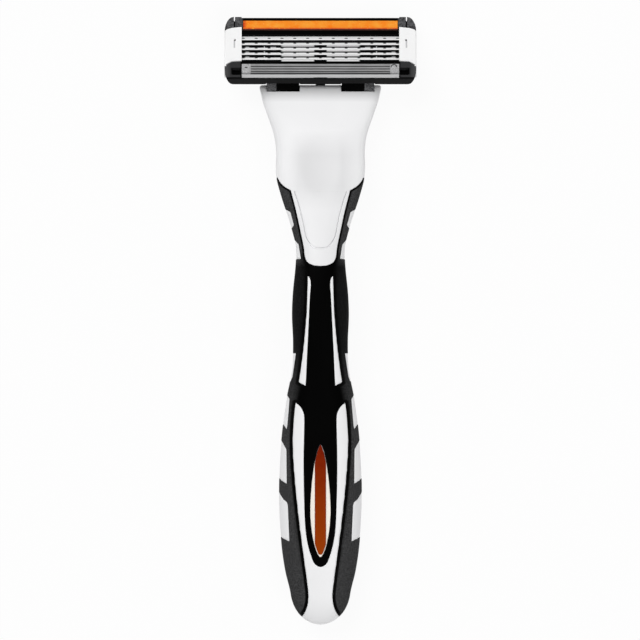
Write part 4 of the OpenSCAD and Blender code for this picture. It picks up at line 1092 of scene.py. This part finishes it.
# Room for the connector, as half width, depth and top, and for its arms
FRONT = NECK_Y - 1
SLOT_FLOOR, ARM_FLOOR, ARM_TOP = 4.95, 7.6, 12
room = [((-half, FRONT, SLOT_FLOOR), (half, NECK_Y + deep, top))
        for half, deep, top in ((12.35, 3.35, 7.85), (7.55, 13.15, 6.55), (2.15, 7.95, 7.85))]
room += [((low, FRONT, ARM_FLOOR), (high, NECK_Y + ARM_DEPTH, ARM_TOP))
         for low, high in ((ARM_IN - ARM_GAP, ARM_OUT + ARM_GAP), (-ARM_OUT - ARM_GAP, ARM_GAP - ARM_IN))]
cut(core, room)

# ------------------------------------------------------------ camera, floor and lamps
FRAME_WIDTH, DISTANCE, FACE_HEIGHT = 145.0, 6000.0, 10
camera = bpy.data.cameras.new("camera")
camera.lens = 500
camera.sensor_width = FRAME_WIDTH * camera.lens / (DISTANCE - FACE_HEIGHT)
camera.clip_end = 20
eye = placed("camera", camera)
eye.location = Vector((0.1, -0.17, DISTANCE)) * MM
eye.rotation_euler = (0, 0, math.pi)
scene.camera = eye

world = bpy.data.worlds.new("world")
scene.world = world
world.use_nodes = True
tree = world.node_tree
path = tree.nodes.new("ShaderNodeLightPath")
level = tree.nodes.new("ShaderNodeMapRange")
level.inputs["To Min"].default_value = 0.3
tree.links.new(path.outputs["Is Camera Ray"], level.inputs["Value"])
tree.nodes["Background"].inputs["Color"].default_value = (1, 1, 1, 1)
tree.links.new(level.outputs[0], tree.nodes["Background"].inputs["Strength"])

# The floor looks nearly white to the camera, mirrors and glass, and keeps the shadow
WHITE_SHARE = 0.93
f = Finish("floor", Roughness=0.9)
f.shader.inputs["Base Color"].default_value = (0.85, 0.85, 0.85, 1)
ray = f.new("ShaderNodeLightPath").outputs
seen = f.either(f.either(ray["Is Camera Ray"], ray["Is Glossy Ray"]), ray["Is Transmission Ray"])
glow = f.new("ShaderNodeEmission")
glow.inputs["Color"].default_value = (1, 1, 1, 1)
blend = f.new("ShaderNodeMixShader")
f.feed(f.times(seen, WHITE_SHARE), blend.inputs["Fac"])
f.feed(f.shader.outputs[0], blend.inputs[1])
f.feed(glow.outputs[0], blend.inputs[2])
f.feed(blend.outputs[0], f.tree.nodes["Material Output"].inputs["Surface"])
mesh = bpy.data.meshes.new("floor")
bm = bmesh.new()
bmesh.ops.create_grid(bm, x_segments=4, y_segments=4, size=1.5)
bm.to_mesh(mesh)
bm.free()
mesh.materials.append(f.mat)
floor = placed("floor", mesh)
floor.location.z = -0.02 * MM

# Each lamp: name, place in metres, watts
LAMPS = (("key", (1.1, -1.6, 2.9), 64), ("fill", (-1.3, 1.5, 2.9), 40))
for name, spot, watts in LAMPS:
    lamp = bpy.data.lights.new(name, "AREA")
    lamp.size = 2
    lamp.energy = watts
    holder = placed(name, lamp)
    holder.location = spot
    holder.rotation_euler = (-Vector(spot)).to_track_quat("-Z", "Y").to_euler()

scene.view_settings.view_transform = "Standard"
